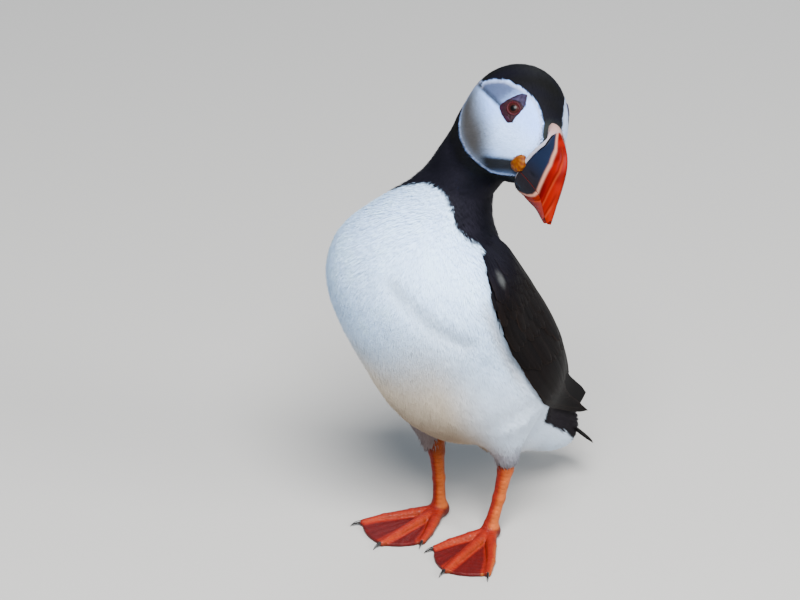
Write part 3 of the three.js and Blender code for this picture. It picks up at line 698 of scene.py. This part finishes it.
def in_pieces(name, roots, strands, sections, material, limit=190000):
    """A coat cut from back to front into pieces of at most so many triangles."""
    parts = max(1, math.ceil(len(roots) * strands * (2 * sections - 1) / limit))
    order = np.argsort(roots[:, 2] + 0.3 * roots[:, 1])
    for i, part in enumerate(np.array_split(order, parts)):
        tufts(f"{name}_{i + 1}" if parts > 1 else name, roots[part], strands, sections, material)


roots = scatter(420000, lambda p: style(p)[0])
roots = roots[~hidden(roots)]
head = norm(to_head(roots)) < 27
dark = black_amount(roots) > 0.5
pale_face = face_amount(roots) > 0.5
in_pieces("coat_face", roots[head & pale_face], 3, 2, DOWN)
in_pieces("coat_crown", roots[head & ~pale_face], 3, 2, SLEEK)
in_pieces("coat_dark", roots[~head & dark], 6, 3, SLEEK)
in_pieces("coat_pale", roots[~head & ~dark], 6, 3, DOWN)


# --- wings
SHOULDER_STREAK = (-23.6, 128.0)


def on_wing(side, yz, level):
    """Point over the flank at a height above the wing's bed, for side-view places of any shape."""
    flat = yz.reshape(-1, 2)
    level = np.broadcast_to(level, yz.shape[:-1]).ravel()
    found = bisect(wing_bed, lambda x: np.column_stack([side * x, flat]), level, len(flat), 60.0, 20)
    return found.reshape(yz.shape[:-1] + (3,))


def vane_shape(t, blunt=0.55):
    """Half width along a feather, from its base to a rounded tip."""
    tip = np.clip((t - blunt) / (1 - blunt), 0, 1)
    return (0.55 + 0.45 * ramp(t, 0, 0.35)) * np.sqrt(np.clip(1 - tip ** 2.2, 0, 1))


def wing_relief(s, v):
    """1 where the folded wing stands proud, falling to 0 where body feathers cover its edge."""
    front = mix(ramp(v, -0.10, 0.06), 1, ramp(s, 0.3, 0.5))
    rear = mix(ramp(1.02 - v, 0.0, 0.2), 1, ramp(s, 0.5, 0.75))
    return ramp(s, 0.0, 0.16) * front * rear


def wing_tracts():
    """One wing's feathers: s of root and tip, v of root and tip, half width, level, 1 for a long flight feather."""
    rows = []

    def tract(count, feather):
        rows.extend(feather(k) for k in np.linspace(0, 1, count))

    tract(9, lambda k: (0.50 + 0.04 * k, 1.0 - 0.26 * k ** 1.3, 0.05 + 0.42 * k, 0.10 + 0.50 * k, 2.3,
                        0.55 + 0.7 * k, 1))
    tract(11, lambda k: (0.42, 0.66 + 0.05 * k, 0.08 + 0.84 * k, 0.10 + 0.78 * k, 2.9, 1.3 + 0.3 * k, 1))
    tract(13, lambda k: (0.35, 0.51 + 0.03 * k, 0.05 + 0.86 * k, 0.06 + 0.86 * k, 2.5, 1.9, 0))
    for row in range(2):
        tract(13, lambda k: (0.30 - 0.045 * row, 0.41 - 0.045 * row, 0.06 + 0.85 * k + 0.03 * row,
                             0.07 + 0.85 * k, 2.3, 2.15 + 0.1 * row, 0))
    for row in range(7):
        start = 0.215 - 0.033 * row
        tract(12, lambda k: (start, start + 0.08, 0.04 + 0.90 * k + 0.03 * (row % 2), 0.045 + 0.905 * k, 2.0,
                             2.35 + 0.04 * row, 0))
    for row in range(8):
        start, level = 0.44 - 0.052 * row, min(2.15, 0.9 + 0.5 * row) + 0.02 * row
        rows += [(start, start + 0.18 + 0.02 * k, 0.74 + 0.08 * k, 0.69 + 0.075 * k, 3.3, level, 0)
                 for k in range(4)]
    return np.array(rows).T


def wing(name, side):
    s0, s1, v0, v1, width, level, flight = wing_tracts()
    count, steps, across = len(s0), 13, 9
    loose = rng.normal(0, 1, (count, 4))
    s0, s1 = s0 + 0.006 * loose[:, 0], s1 + 0.008 * loose[:, 1] * (s1 < 0.95)
    v0, v1 = v0 + 0.010 * loose[:, 2], v1 + 0.014 * loose[:, 3]
    t, a = np.linspace(0, 1, steps), np.linspace(-1, 1, across)
    s_path = mix(s0[:, None], s1[:, None], t)
    v_path = np.clip(mix(v0[:, None], v1[:, None], t ** 1.3), -0.02, 1.02)
    line = wing_plane(s_path, v_path)
    direction = unit(np.gradient(line, axis=1))
    perp = np.stack([direction[..., 1], -direction[..., 0]], -1)
    half = width[:, None] * vane_shape(t)[None]
    yz = line[:, :, None] + perp[:, :, None] * (half[..., None, None] * a[None, None, :, None])
    height = level[:, None, None] + 0.4 * t[None, :, None] + 0.3 * (1 - a ** 2)[None, None]
    height = height + 0.10 * loose[:, 0][:, None, None]
    points = on_wing(side, yz, mix(-1.2, height, wing_relief(s_path, v_path)[..., None]))
    base = tint("wing", "wing_brown", np.clip(0.45 + 0.25 * loose[:, 2] - 0.2 * flight, 0, 1))
    barred = 0.5 + 0.5 * np.sin(a * 9 + loose[:, 3][:, None] * 3)
    colour = tint(base[:, None, None], "wing_brown", 0.3 * barred[:, None])
    edge = np.maximum(np.abs(a)[None, None], t[None, :, None] ** 3)
    worn = np.clip(0.35 + 0.15 * loose[:, 0], 0.1, 0.7)[:, None, None]
    colour = tint(colour, "wing_edge", ramp(edge, 0.78, 1.0) * worn) * (1 + 0.10 * loose[:, 1])[:, None, None, None]
    colour = tint(colour, "ink", (ramp(-s_path, -0.26, -0.06) * 0.85)[..., None])
    colour = tint(colour, "shaft", (np.abs(a) < 0.1) * 0.6)
    streak = ramp(-norm((yz - SHOULDER_STREAK) * [0.8, 0.5]), -2.0, -0.4)
    colour = tint(colour, "shoulder", 0.5 * streak)
    size = norm(line[:, -1] - line[:, 0])[:, None, None]
    barb = (size * t[None, :, None] - 2.2 * np.abs(a)[None, None]) * 2 * math.pi / 0.6
    cell = np.stack([0.02 + 0.92 * s0, 0.02 + 0.92 * np.clip(v0, 0, 1)], -1)
    patch = np.stack(np.broadcast_arrays(0.012 * a[None, None], 0.03 * t[None, :, None]), -1)
    mesh_object(f"wing_feathers_{name}", points, many_grids(count, steps, across)[..., ::-side], VANE,
                np.clip(colour, 0.0015, 1), uv=cell[:, None, None] + patch, barb=barb, nodes=(f"wing_{name}",))
    wing_base(name, side)


def wing_base(name, side):
    """Thin dark body of the folded wing, under its feathers."""
    rows, columns = 44, 16
    s, v = lattice(np.linspace(0.03, 0.93, rows), np.linspace(0.06, 0.94, columns))
    proud = wing_relief(s, v)
    points = np.stack([on_wing(side, wing_plane(s, v), mix(-1.6, 0.75, proud)),
                       on_wing(side, wing_plane(s, v), mix(-2.0, 0.3, proud))])
    sheet = grid_faces(rows, columns)
    faces = np.concatenate([sheet, sheet[:, ::-1] + rows * columns])
    mesh_object(f"wing_base_{name}", points, faces[:, ::-side], SLEEK, PAINT["wing_base"])


for name, side in SIDES.items():
    wing(name, side)


# --- tail
def tail():
    root, tip = vec(0, 41, 40.5), vec(0, 66, 17)
    axis = unit(tip - root)
    up = unit(np.cross(vec(1, 0, 0), axis))
    up = up if up[2] > 0 else -up
    count, steps, across = 14, 12, 7
    t, a = np.linspace(0, 1, steps), np.linspace(-1, 1, across)
    edge = np.maximum(np.abs(a)[None], (t ** 4)[:, None])
    colour = tint("tail", "tail_edge", 0.5 * ramp(edge, 0.8, 1))
    order = np.linspace(-1, 1, count)
    points, barbs = [], []
    for u in order[np.argsort(-np.abs(order))]:
        heading = unit(axis + vec(1, 0, 0) * u * 0.23)
        side = unit(np.cross(heading, up))
        length = 34.0 - 4.2 * u * u
        centre = root + vec(u * 5.5, 0, 0) + heading * (length * t)[:, None] - up * (1.4 * u * u * t)[:, None]
        centre = centre + up * (1.7 * (1 - abs(u)) - 0.9)
        half = 2.5 * vane_shape(t, 0.72)
        spot = centre[:, None] + side * (half[:, None, None] * a[None, :, None])
        points.append(spot + up * (0.35 * (1 - a ** 2))[None, :, None])
        barbs.append((length * t[:, None] / 0.55 - np.abs(a)[None] * 5) * math.pi)
    cell = np.stack([np.linspace(0.05, 0.93, count), np.full(count, 0.1)], -1)[:, None, None]
    patch = np.stack(np.broadcast_arrays(0.025 * a[None, None], 0.6 * t[None, :, None]), -1)
    mesh_object("tail_feathers", np.array(points), many_grids(count, steps, across), VANE,
                np.tile(colour, (count, 1, 1, 1)), uv=cell + patch, barb=np.array(barbs), nodes=("tail",))


tail()


# --- bill, in the head's frame
BASE, TIP = 26.0, 47.3
RIDGE_UPPER = [(13, 27.0), (10.6, 28.9), (8.1, 31.4), (3.3, 34.0), (-2.9, 35.4), (-8, 36.4), (-13, 36.8)]
RIDGE_LOWER = [(-5, 36.4), (-8, 36.4), (-10, 35.6), (-12, 33.0), (-13.5, 29.6), (-14.6, 26.5), (-17, 22)]
GROOVES = {True: (3.7, 7.0), False: (2.9,)}


def culmen(t):
    return 12.4 - 23.0 * t ** 2.7 - 6.2 * t * (1 - t)


def gape(t):
    return -7.2 - 5.2 * t ** 2.8


def keel(t):
    return -15.8 + 2.4 * t ** 1.6


def half_width(t):
    return 0.9 + 5.8 * (1 - t) ** 0.85


def past_ridge(q, upper):
    """Distance in front of the pale ridge, which swings back over the top of the bill."""
    over = 3.2 * bell(q[:, 1], 1.7) * ramp(q[:, 2], 6.5, 10.5) if upper else 0
    return q[:, 0] - table(q[:, 2], RIDGE_UPPER if upper else RIDGE_LOWER) + over


def nostril(q, width, front, back):
    """1 in the long slit low on the upper bill."""
    slit = bell(q[:, 2] + 4.6 - 0.10 * (q[:, 0] - 27), width)
    return slit * ramp(q[:, 0], front, 28.0) * ramp(-q[:, 0], back, -32.5)


def bill_colour(q, upper):
    x, y, z = q.T
    past = past_ridge(q, upper)
    # the plates greyer towards the bottom and on the lower bill: painted shade
    plate = tint("plate", "plate_low_shade", ramp(-z, -2, 7))
    # painted sheen towards the front and top of the plate
    plate = tint(plate, "plate_sheen", 0.3 * ramp(x - 26, 2, 8) * ramp(z, -2, 6))
    red = tint("red", "red_deep", ramp(ripple(q, 7, 31), -0.6, 0.8))
    red = tint(red, "red_tip", 0.5 * ramp(past, 5, 9))
    # darker red just in front of the ridge and low on the bill: painted shade
    red = tint(red, "red_shade", 0.8 * ramp(-past, -3.4, -0.6) * ramp(-z, -3, 5))
    if not upper:
        red = tint(red, "red_lower", 0.6)
        red = tint(red, "lower_tip", 0.7 * ramp(past, 3.0, 4.5))
    side = ramp(np.abs(y), 0.5, 1.6)
    # each groove darkened with painted shade, the lip in front of it lightened with a painted highlight
    for place in GROOVES[upper]:
        red = tint(red, "groove", side * 0.7 * bell(past - place, 0.32))
        red = tint(red, "groove_highlight", side * 0.3 * bell(past - place - 0.75, 0.35))
    colour = blend_colour(plate, red, ramp(past, -0.1, 0.3))
    colour = tint(colour, "ridge", 0.95 * np.exp(-(np.abs(past) / 0.75) ** 3))
    return tint(colour, "slit", 0.9 * nostril(q, 0.34, 27.2, -33.2)) if upper else colour


def bill_relief(q, upper):
    past = past_ridge(q, upper)
    height = 0.26 * bell(past, 0.8)
    for place in GROOVES[upper]:
        height = height - 0.14 * bell(past - place, 0.5) * ramp(np.abs(q[:, 1]), 0.4, 1.4)
    return height - 0.55 * nostril(q, 0.42, 27.0, -33.5) if upper else height


def mandible(name, edge, ridge_height, sharp, to, upper, node):
    """Upper or lower half of the bill, from its edge at the gape to its outer ridge."""
    rows, columns, floor_columns = 90, 72, 12
    x = BASE + (to - BASE) * np.sin(np.linspace(0, 1, rows) * math.pi / 2)
    t = (x - BASE) / (TIP - BASE)
    angle = np.linspace(0, math.pi, columns)
    low, high = edge(t)[:, None], ridge_height(t)[:, None]
    y = half_width(t)[:, None] * np.sign(np.cos(angle)) * np.abs(np.cos(angle)) ** (2 / sharp)
    z = low + (high - low) * np.sin(angle) ** 0.9
    q = np.stack([x[:, None] + BILL_SLANT * (1 - t)[:, None] * z, y, z], -1)
    normal = unit(np.cross(np.gradient(q, axis=0), np.gradient(q, axis=1)))
    outside = np.sign((normal * (q - q.mean(1, keepdims=True))).sum(-1, keepdims=True).mean())
    if upper:
        q[..., 0] -= 3.0 * ((1 - t) ** 3)[:, None] * ramp(z, 6.5, 12.2)
    hook = ramp(t, 0.5, 1.0)[:, None]
    q[..., 0] -= 0.8 * hook
    q[..., 2] -= 2.3 * hook
    flat = q.reshape(-1, 3)
    relief = bill_relief(flat, upper).reshape(rows, columns) * (np.sin(angle) ** 0.25)
    colour = bill_colour(flat, upper)
    q = q + normal * outside * (relief * ramp(1 - t, 0.02, 0.15)[:, None])[..., None]
    floor = mix(q[:, :1], q[:, -1:], np.linspace(0, 1, floor_columns)[None, :, None])
    points = np.concatenate([q, floor], 1)
    points = np.concatenate([points[:, :columns].reshape(-1, 3), points[:, columns:].reshape(-1, 3)])
    colour = np.concatenate([colour, np.broadcast_to(PAINT["mouth"], (rows * floor_columns, 3))])
    half = columns // 2
    back, front = (np.stack([ring[:half - 1], ring[1:half], ring[::-1][1:half], ring[::-1][:half - 1]], 1)
                   for ring in (row * columns + np.arange(columns) for row in (0, rows - 1)))
    under = grid_faces(rows, floor_columns) + rows * columns
    faces = np.concatenate([grid_faces(rows, columns), under[:, ::-1], back, front[:, ::-1]])
    mesh_object(name, from_head(points), faces[:, ::int(outside)], HORN, colour, nodes=(node,))


mandible("upper_mandible", lambda t: gape(t) + 0.12, culmen, 1.4, TIP, True, "bill_upper")
mandible("lower_mandible", lambda t: gape(t) - 0.12, keel, 1.8, TIP - 2.2, False, "bill_lower")


def rim():
    """Pale skin between feathers and horn, widest where it bridges the top of the bill."""
    rows, columns = 20, 140
    s, angle = np.linspace(0, 1, rows)[:, None], circle(columns)[None]
    top = ramp(np.sin(angle), 0.72, 1.0)
    puff = np.sin(math.pi * np.clip(s * 1.06, 0, 1)) ** 0.8
    grow = mix(-0.7, 0.12, s) + mix(0.95, 0.8, top) * puff + 0.06 * np.sin(angle * 23 + 4 * s)
    across = np.sign(np.cos(angle)) * np.abs(np.cos(angle)) ** 1.15
    z = -1.7 + (14.1 + grow + top * mix(1.1, -0.2, s)) * np.sin(angle)
    start, end = mix(24.1, 17.4, top), 26.3 - 3.0 * ramp(z, 6.5, 12.2)
    q = np.stack([mix(start, end, s) + BILL_SLANT * z, (6.7 + grow) * across, z], -1)
    colour = tint("rim_side", "rim_top", ramp(z, 7, 13))
    colour = tint(colour, "rim_low", ramp(-z, 5, 12) * 0.8)
    colour = tint(colour, "rim_edge", 0.6 * ramp(s, 0.82, 1.0))
    mesh_object("cere", from_head(q), grid_faces(rows, columns, wrap=True)[:, ::-1], FLESH, colour,
                nodes=("bill_rim",))


rim()


def rosette(name, side):
    """Small wrinkled swelling in the corner of the mouth."""
    rows, columns, folds = 40, 64, 0.015
    polar, angle = lattice(np.linspace(0.02, math.pi - 0.02, rows), circle(columns))
    ball = np.stack([np.sin(polar) * np.cos(angle), np.cos(polar), np.sin(polar) * np.sin(angle)], -1)
    crease = 1 + folds * np.sin(angle * 11 + 1.2 * np.sin(polar * 4)) * np.sin(polar) ** 2
    crease = crease + folds * 0.3 * np.sin(polar * 11)
    q = vec(22.0, 7.2 * side, -4.8) + ball * vec(4.2, 2.1, 3.9) * crease[..., None]
    # lighter on the crests of the folds and darker in their hollows: painted light and shade
    colour = tint("rosette", "rosette_fold_highlight", ramp(crease, 1 - folds, 1 + folds))
    mesh_object(f"gape_{name}", from_head(q), grid_faces(rows, columns, wrap=True), FLESH, colour,
                nodes=(f"rosette_{name}",))


for name, side in SIDES.items():
    rosette(name, side)


# --- eyes, in the head's frame
FAR_EYE = vec(-1.5, -0.4, -0.3)
PLATES = {
    "upper": [(-2.4, 2.2), (-0.3, 3.3), (1.5, 3.5), (2.9, 3.0), (1.4, 4.5), (-0.9, 6.5), (-2.0, 6.1), (-2.1, 4.2)],
    "lower": [(-3.3, 0.2), (-3.2, -1.9), (-0.5, -3.4), (3.2, -4.6), (4.5, -3.5), (2.8, -2.7), (0, -2.8),
              (-2.1, -0.8)],
    "patch": [(-3.2, 0.8), (-2.9, -2.0), (0, -3.6), (3.3, -4.6), (4.4, -3.4), (3.6, -0.2), (3.1, 2.5), (1.5, 4.6),
              (-0.9, 6.6), (-2.2, 6.0), (-2.7, 3.6)],
}


def spokes(axis, angle):
    """Directions at right angles to an axis."""
    u = unit(np.cross(axis, vec(0, 0, 1)))
    return np.cos(angle)[..., None] * u + np.sin(angle)[..., None] * np.cross(axis, u)


def eyeball(name, side, centre, axis):
    rows, columns, radius = 80, 64, 3.3
    polar, angle = lattice(np.linspace(0.001, math.pi * 0.98, rows), circle(columns))
    out = np.cos(polar)[..., None] * axis + np.sin(polar)[..., None] * spokes(axis, angle)
    look = np.degrees(polar)
    fibre = 0.5 + 0.5 * np.sin(angle * 41 + 2 * np.sin(look / 6))
    colour = blend_colour(PAINT["pupil"], tint("iris", "iris_light", fibre * 0.7), ramp(look, 19, 22))
    colour = tint(colour, "eye_white", ramp(look, 34, 42))
    faces = grid_faces(rows, columns, wrap=True)[:, ::side]
    mesh_object(f"eyeball_{name}", from_head(centre + radius * out), faces, EYE, colour,
                nodes=(f"eye_{name}",))


def eye_ring(name, centre, axis):
    rows, columns = 24, 110
    tube, turn = lattice(np.linspace(0, 2 * math.pi, rows), circle(columns))
    lid = np.sin(turn) ** 2
    thick = (0.50 + 0.06 * np.sin(turn * 23) * np.cos(tube)) * (1 + 0.15 * lid)
    q = centre + spokes(axis, turn) * (2.50 - 0.22 * lid + thick * np.cos(tube))[..., None]
    q = q + axis * (2.32 + 0.1 * lid + 0.8 * thick * np.sin(tube))[..., None]
    colour = tint("lid", "lid_light", 0.5 + 0.5 * np.sin(turn * 23))
    colour = tint(colour, "lid_outer", 0.8 * ramp(np.cos(tube), 0.0, 0.8))
    mesh_object(f"eye_ring_{name}", from_head(q), grid_faces(rows, columns, wrap=True), FLESH, colour)


def on_face(x, z, side, level):
    """Point of the head's side at a height above the plumage, for places forward and up."""
    return bisect(head_field, lambda y: np.column_stack([x, side * y, z]), level, len(x), 30.0, 22)


def plate(which, name, side, peak, material, nodes):
    """Bare patch or horny plate by the eye, from its outline round the eye's centre, seen from the side."""
    corners = np.array(PLATES[which]) + [10.3, 10.0] + (FAR_EYE[[0, 2]] * 1.5 if side > 0 else 0)
    loop = np.concatenate([mix(a, b, np.linspace(0, 1, 14, endpoint=False)[:, None])
                           for a, b in zip(corners, np.roll(corners, -1, axis=0))])
    for _ in range(4):
        loop = (np.roll(loop, 1, axis=0) + 2 * loop + np.roll(loop, -1, axis=0)) / 4
    middle = loop.mean(0)
    rings = np.array([0.02, 0.25, 0.5, 0.72, 0.86, 0.95, 1.0])
    height = np.array([1, 1, 0.96, 0.88, 0.66, 0.2, -1.2]) * peak
    x, z = (middle + (loop - middle)[None] * rings[:, None, None]).reshape(-1, 2).T
    level = np.repeat(height, len(loop)) + 0.04 * np.sin(x * 5 + z * 3)
    # mottled, and lighter on the plate's raised middle: the mottling is the plate's own, the lighter middle a
    # painted highlight
    light = 0.4 + 0.4 * np.sin(x * 2.1) * np.cos(z * 2.7) + 0.3 * ramp(level, 0, peak)
    mesh_object(f"eye_{which}_{name}", from_head(on_face(x, z, side, level)),
                grid_faces(len(rings), len(loop), wrap=True)[:, ::-side], material,
                tint(which, which + "_light", np.clip(light, 0, 1)), nodes=nodes)


for name, side in SIDES.items():
    middle = vec(10.2, 11.5 * side, 9.9) + (FAR_EYE if side > 0 else 0)
    gaze = unit(vec(0.50, 0.80 * side, 0.36))
    eyeball(name, side, middle, gaze)
    eye_ring(name, middle, gaze)
    plate("patch", name, side, 0.10, FLESH, ())
    plate("upper", name, side, 0.36, HORN, (f"eye_plate_upper_{name}",))
    plate("lower", name, side, 0.36, HORN, (f"eye_plate_lower_{name}",))


# --- legs and feet: each toe's length and heading from the foot's, in degrees
LEGS = {
    "right": dict(ankle=vec(-12.9, -4.4, 30), foot=vec(-12.8, -2.8, 4.6), heading=3,
                  toes=dict(outer=(32.3, -33), middle=(34.8, 0), inner=(25.2, 26))),
    "left": dict(ankle=vec(17.4, 3.6, 30), foot=vec(14.6, -1.6, 4.6), heading=13,
                 toes=dict(outer=(32.3, 29), middle=(34.8, 0), inner=(25.2, -31))),
}
SHANK_RADII = (3.2, 3.1, 2.35, 2.7, 3.0)
TOE_RADII = (2.5, 2.15, 1.75, 1.35)


def on_ground(leg, distance, heading, height):
    angle = np.radians(leg["heading"] + heading)
    return vec(leg["foot"][0] + distance * math.sin(angle), leg["foot"][1] - distance * math.cos(angle), height)


def shank_line(leg):
    ankle, foot = leg["ankle"], leg["foot"]
    return [ankle + vec(0, 0, 4.5), ankle, (ankle + foot) / 2 + vec(0, 0.5, 0), foot + vec(0, 0, 1),
            foot - vec(0, 0, 1.4)]


def toe_lines(leg):
    return [[on_ground(leg, d, heading * bend, h) for d, bend, h in
             ((-1.5, 1.0, 2.9), (size * 0.35, 1.10, 2.2), (size * 0.7, 1.08, 1.7), (size * 0.985, 1.0, 1.3))]
            for size, heading in leg["toes"].values()]


def web_height(leg, p):
    """Distance inside the web's outline, negative outside it, and the web's thickness."""
    spot = p[:, :2] - leg["foot"][:2]
    distance = norm(spot)
    heading = np.degrees(np.arctan2(spot[:, 0], -spot[:, 1])) - leg["heading"]
    (first, _), (middle, _), (last, _) = toes = sorted((h, d) for d, h in leg["toes"].values())
    reach = np.interp(heading, [t[0] for t in toes], [t[1] for t in toes])
    gap = np.where(heading < middle, (heading - first) / (middle - first), (last - heading) / (last - middle))
    bulge = np.sin(math.pi * np.clip(gap, 0, 1))
    edge = np.minimum(reach * (1 + 0.02 * bulge - 0.015) - distance,
                      np.radians(np.minimum(heading - first, last - heading)) * distance)
    crinkle = 0.10 * np.sin(np.radians(heading) * 46) * ramp(distance, 8, 20) + 0.05 * np.sin(distance * 2.6)
    return edge, 0.95 + 0.5 * bulge * ramp(-distance, -26, -8) + crinkle


def leg_field(leg):
    def field(p):
        foot = np.full(len(p), FAR)
        for line in toe_lines(leg):
            foot = smooth_min(foot, chain(p, line, TOE_RADII, 0.6), 1.2)
        edge, thick = web_height(leg, p)
        foot = smooth_min(foot, np.maximum(np.abs(p[:, 2] - 0.8) - thick * 0.8, -edge), 1.0)
        return np.maximum(smooth_min(chain(p, shank_line(leg), SHANK_RADII, 1.5), foot, 2.0), -p[:, 2])
    return field


def scale_gaps(place, size):
    """1 in the gaps between scales of a size along a toe or shank."""
    return 1 - ramp(np.abs((place / size) % 1 - 0.5) * 2, 0.0, 0.35)


def leg_mesh(name, leg):
    field = leg_field(leg)
    spots = np.array([on_ground(leg, d + 2, h, 0) for d, h in leg["toes"].values()] + [leg["ankle"], leg["foot"]])
    low = np.minimum(spots.min(0) - 5, vec(FAR, FAR, -1.2))
    high = np.maximum(spots.max(0) + 6, vec(-FAR, -FAR, 37))
    points, quads = surface_of(field, low, high, 0.5, rounds=2)
    n = outward(field, points, 0.2)
    toes = np.array([nearest_along(points, line) for line in toe_lines(leg)])
    nearest = toes[:, 0].argmin(0)
    on_toe = ramp(3.4 - toes[:, 0].min(0), 0, 1.0)
    toe_place = np.take_along_axis(toes[:, 1], nearest[None], 0)[0]
    shank_distance, shank_place = nearest_along(points, shank_line(leg))
    on_shank = ramp(3.9 - shank_distance, 0, 0.6) * ramp(points[:, 2], 3.5, 6)
    top = on_toe * ramp(n[:, 2], 0.1, 0.6)
    groove = 0.12 * scale_gaps(toe_place, 1.55) * top * (1 - on_shank)
    groove = groove + 0.12 * scale_gaps(shank_place, 1.9) * on_shank * ramp(-n[:, 1], 0.0, 0.5)
    points = points - n * (groove * ramp(points[:, 2], 0.1, 0.5))[:, None]
    colour = tint(tint("web", "leg", top), "leg", on_shank)
    # painted highlight on the sides facing +x, towards the key lamp: all along the shank, strongest on the
    # outermost toe of the left foot
    lit = np.maximum(on_shank, on_toe * mix(0.15, 0.8, ramp(points[:, 0], 23, 27)))
    colour = tint(colour, "leg_highlight", 0.5 * lit * ramp(n[:, 0], 0.1, 0.9))
    colour = tint(colour, "scale_gap", np.clip(groove * 3.0, 0, 0.6))
    colour = tint(colour, "ankle", 0.5 * on_shank * ramp(points[:, 2], 26, 33))
    colour = colour * (1 + 0.10 * ripple(points, 4, 41) + 0.06 * ripple(points, 1.5, 42))[:, None]
    mesh_object(f"leg_{name}", points, quads, SCALY, np.clip(colour, 0.004, 1),
                nodes=(f"shank_{name}", f"foot_{name}"))
    for toe, (length, heading) in leg["toes"].items():
        claw(leg, length, heading, f"nail_{toe}_{name}", f"claw_{toe}_{name}")


def claw(leg, length, heading, name, node):
    rows, columns = 28, 28
    s = np.linspace(0, 1, rows)
    a, b, c = (on_ground(leg, length + d, heading, h) for d, h in ((-0.8, 1.3), (2.6, 2.4), (4.6, 0.3)))
    line = ((1 - s) ** 2)[:, None] * a + (2 * s * (1 - s))[:, None] * b + (s ** 2)[:, None] * c
    tangent = unit(np.gradient(line, axis=0))
    side = unit(np.cross(tangent, vec(0, 0, 1)))
    top = np.cross(side, tangent)
    angle = circle(columns)[None, :, None]
    ring = np.cos(angle) * side[:, None] * 0.8 + np.sin(angle) * top[:, None]
    points = line[:, None] + ring * (0.85 * (1 - s) ** 0.75 + 0.05)[:, None, None]
    points[..., 2] = np.maximum(points[..., 2], 0.03)
    colour = tint("claw", "claw_tip", np.repeat(ramp(s, 0, 0.5), columns))
    faces = grid_faces(rows, columns, wrap=True)[:, ::-1]
    mesh_object(name, points, faces, CLAW, colour, nodes=(node,))


for name, leg in LEGS.items():
    leg_mesh(name, leg)


# --- stage, light, camera
def stage():
    material, _, _, shader = node_material("studio_floor")
    shader.inputs["Base Color"].default_value = (0.34, 0.33, 0.315, 1)
    shader.inputs["Roughness"].default_value = 0.85
    mesh = bpy.data.meshes.new("floor")
    mesh.from_pydata([(-6, -6, 0), (6, -6, 0), (6, 6, 0), (-6, 6, 0)], [], [(0, 1, 2, 3)])
    mesh.materials.append(material)
    floor = link("floor", mesh)


def facing(back):
    """Rotation of a lamp or camera whose back points this way."""
    right = unit(np.cross(vec(0, 0, 1), back))
    up = np.cross(back, right)
    return Matrix([[right[i], up[i], back[i]] for i in range(3)]).to_euler()


def area_light(name, place, size, power, colour):
    data = bpy.data.lights.new(name, "AREA")
    data.shape = "DISK"
    data.size = size
    data.energy = power
    data.color = colour
    lamp = link(name, data)
    lamp.location = place
    lamp.rotation_euler = facing(unit(vec(*place) - vec(0, 0, 0.11)))


def light():
    area_light("key", (0.8, -0.72, 1.42), 0.9, 124, (1.0, 1.0, 1.0))
    area_light("side", (1.4, 0.25, 0.8), 0.6, 22, (1.0, 0.99, 0.97))
    area_light("back", (-0.6, 1.3, 1.1), 0.7, 10, (0.9, 0.95, 1.0))
    world = bpy.data.worlds.new("sky")
    world.use_nodes = True
    sky = world.node_tree.nodes["Background"]
    sky.inputs["Color"].default_value = (0.68, 0.82, 1.0, 1)
    sky.inputs["Strength"].default_value = 0.45
    bpy.context.scene.world = world


def camera():
    """Long lens, level with the photo's: 26.8 mm left of the bird's origin and 89.6 mm above it in the picture."""
    right = unit(vec(1, 1, 0))
    back = unit(vec(0.64086, -0.64086, 0.42262))
    target = -26.8 * right + 89.6 * np.cross(back, right)
    data = bpy.data.cameras.new("camera")
    data.lens = 180
    data.sensor_width = 36
    data.clip_start = 0.05
    eye_point = link("camera", data)
    eye_point.location = (target + 1600 * back + SHIFT) / 1000
    eye_point.rotation_euler = facing(back)
    bpy.context.scene.camera = eye_point


stage()
light()
camera()
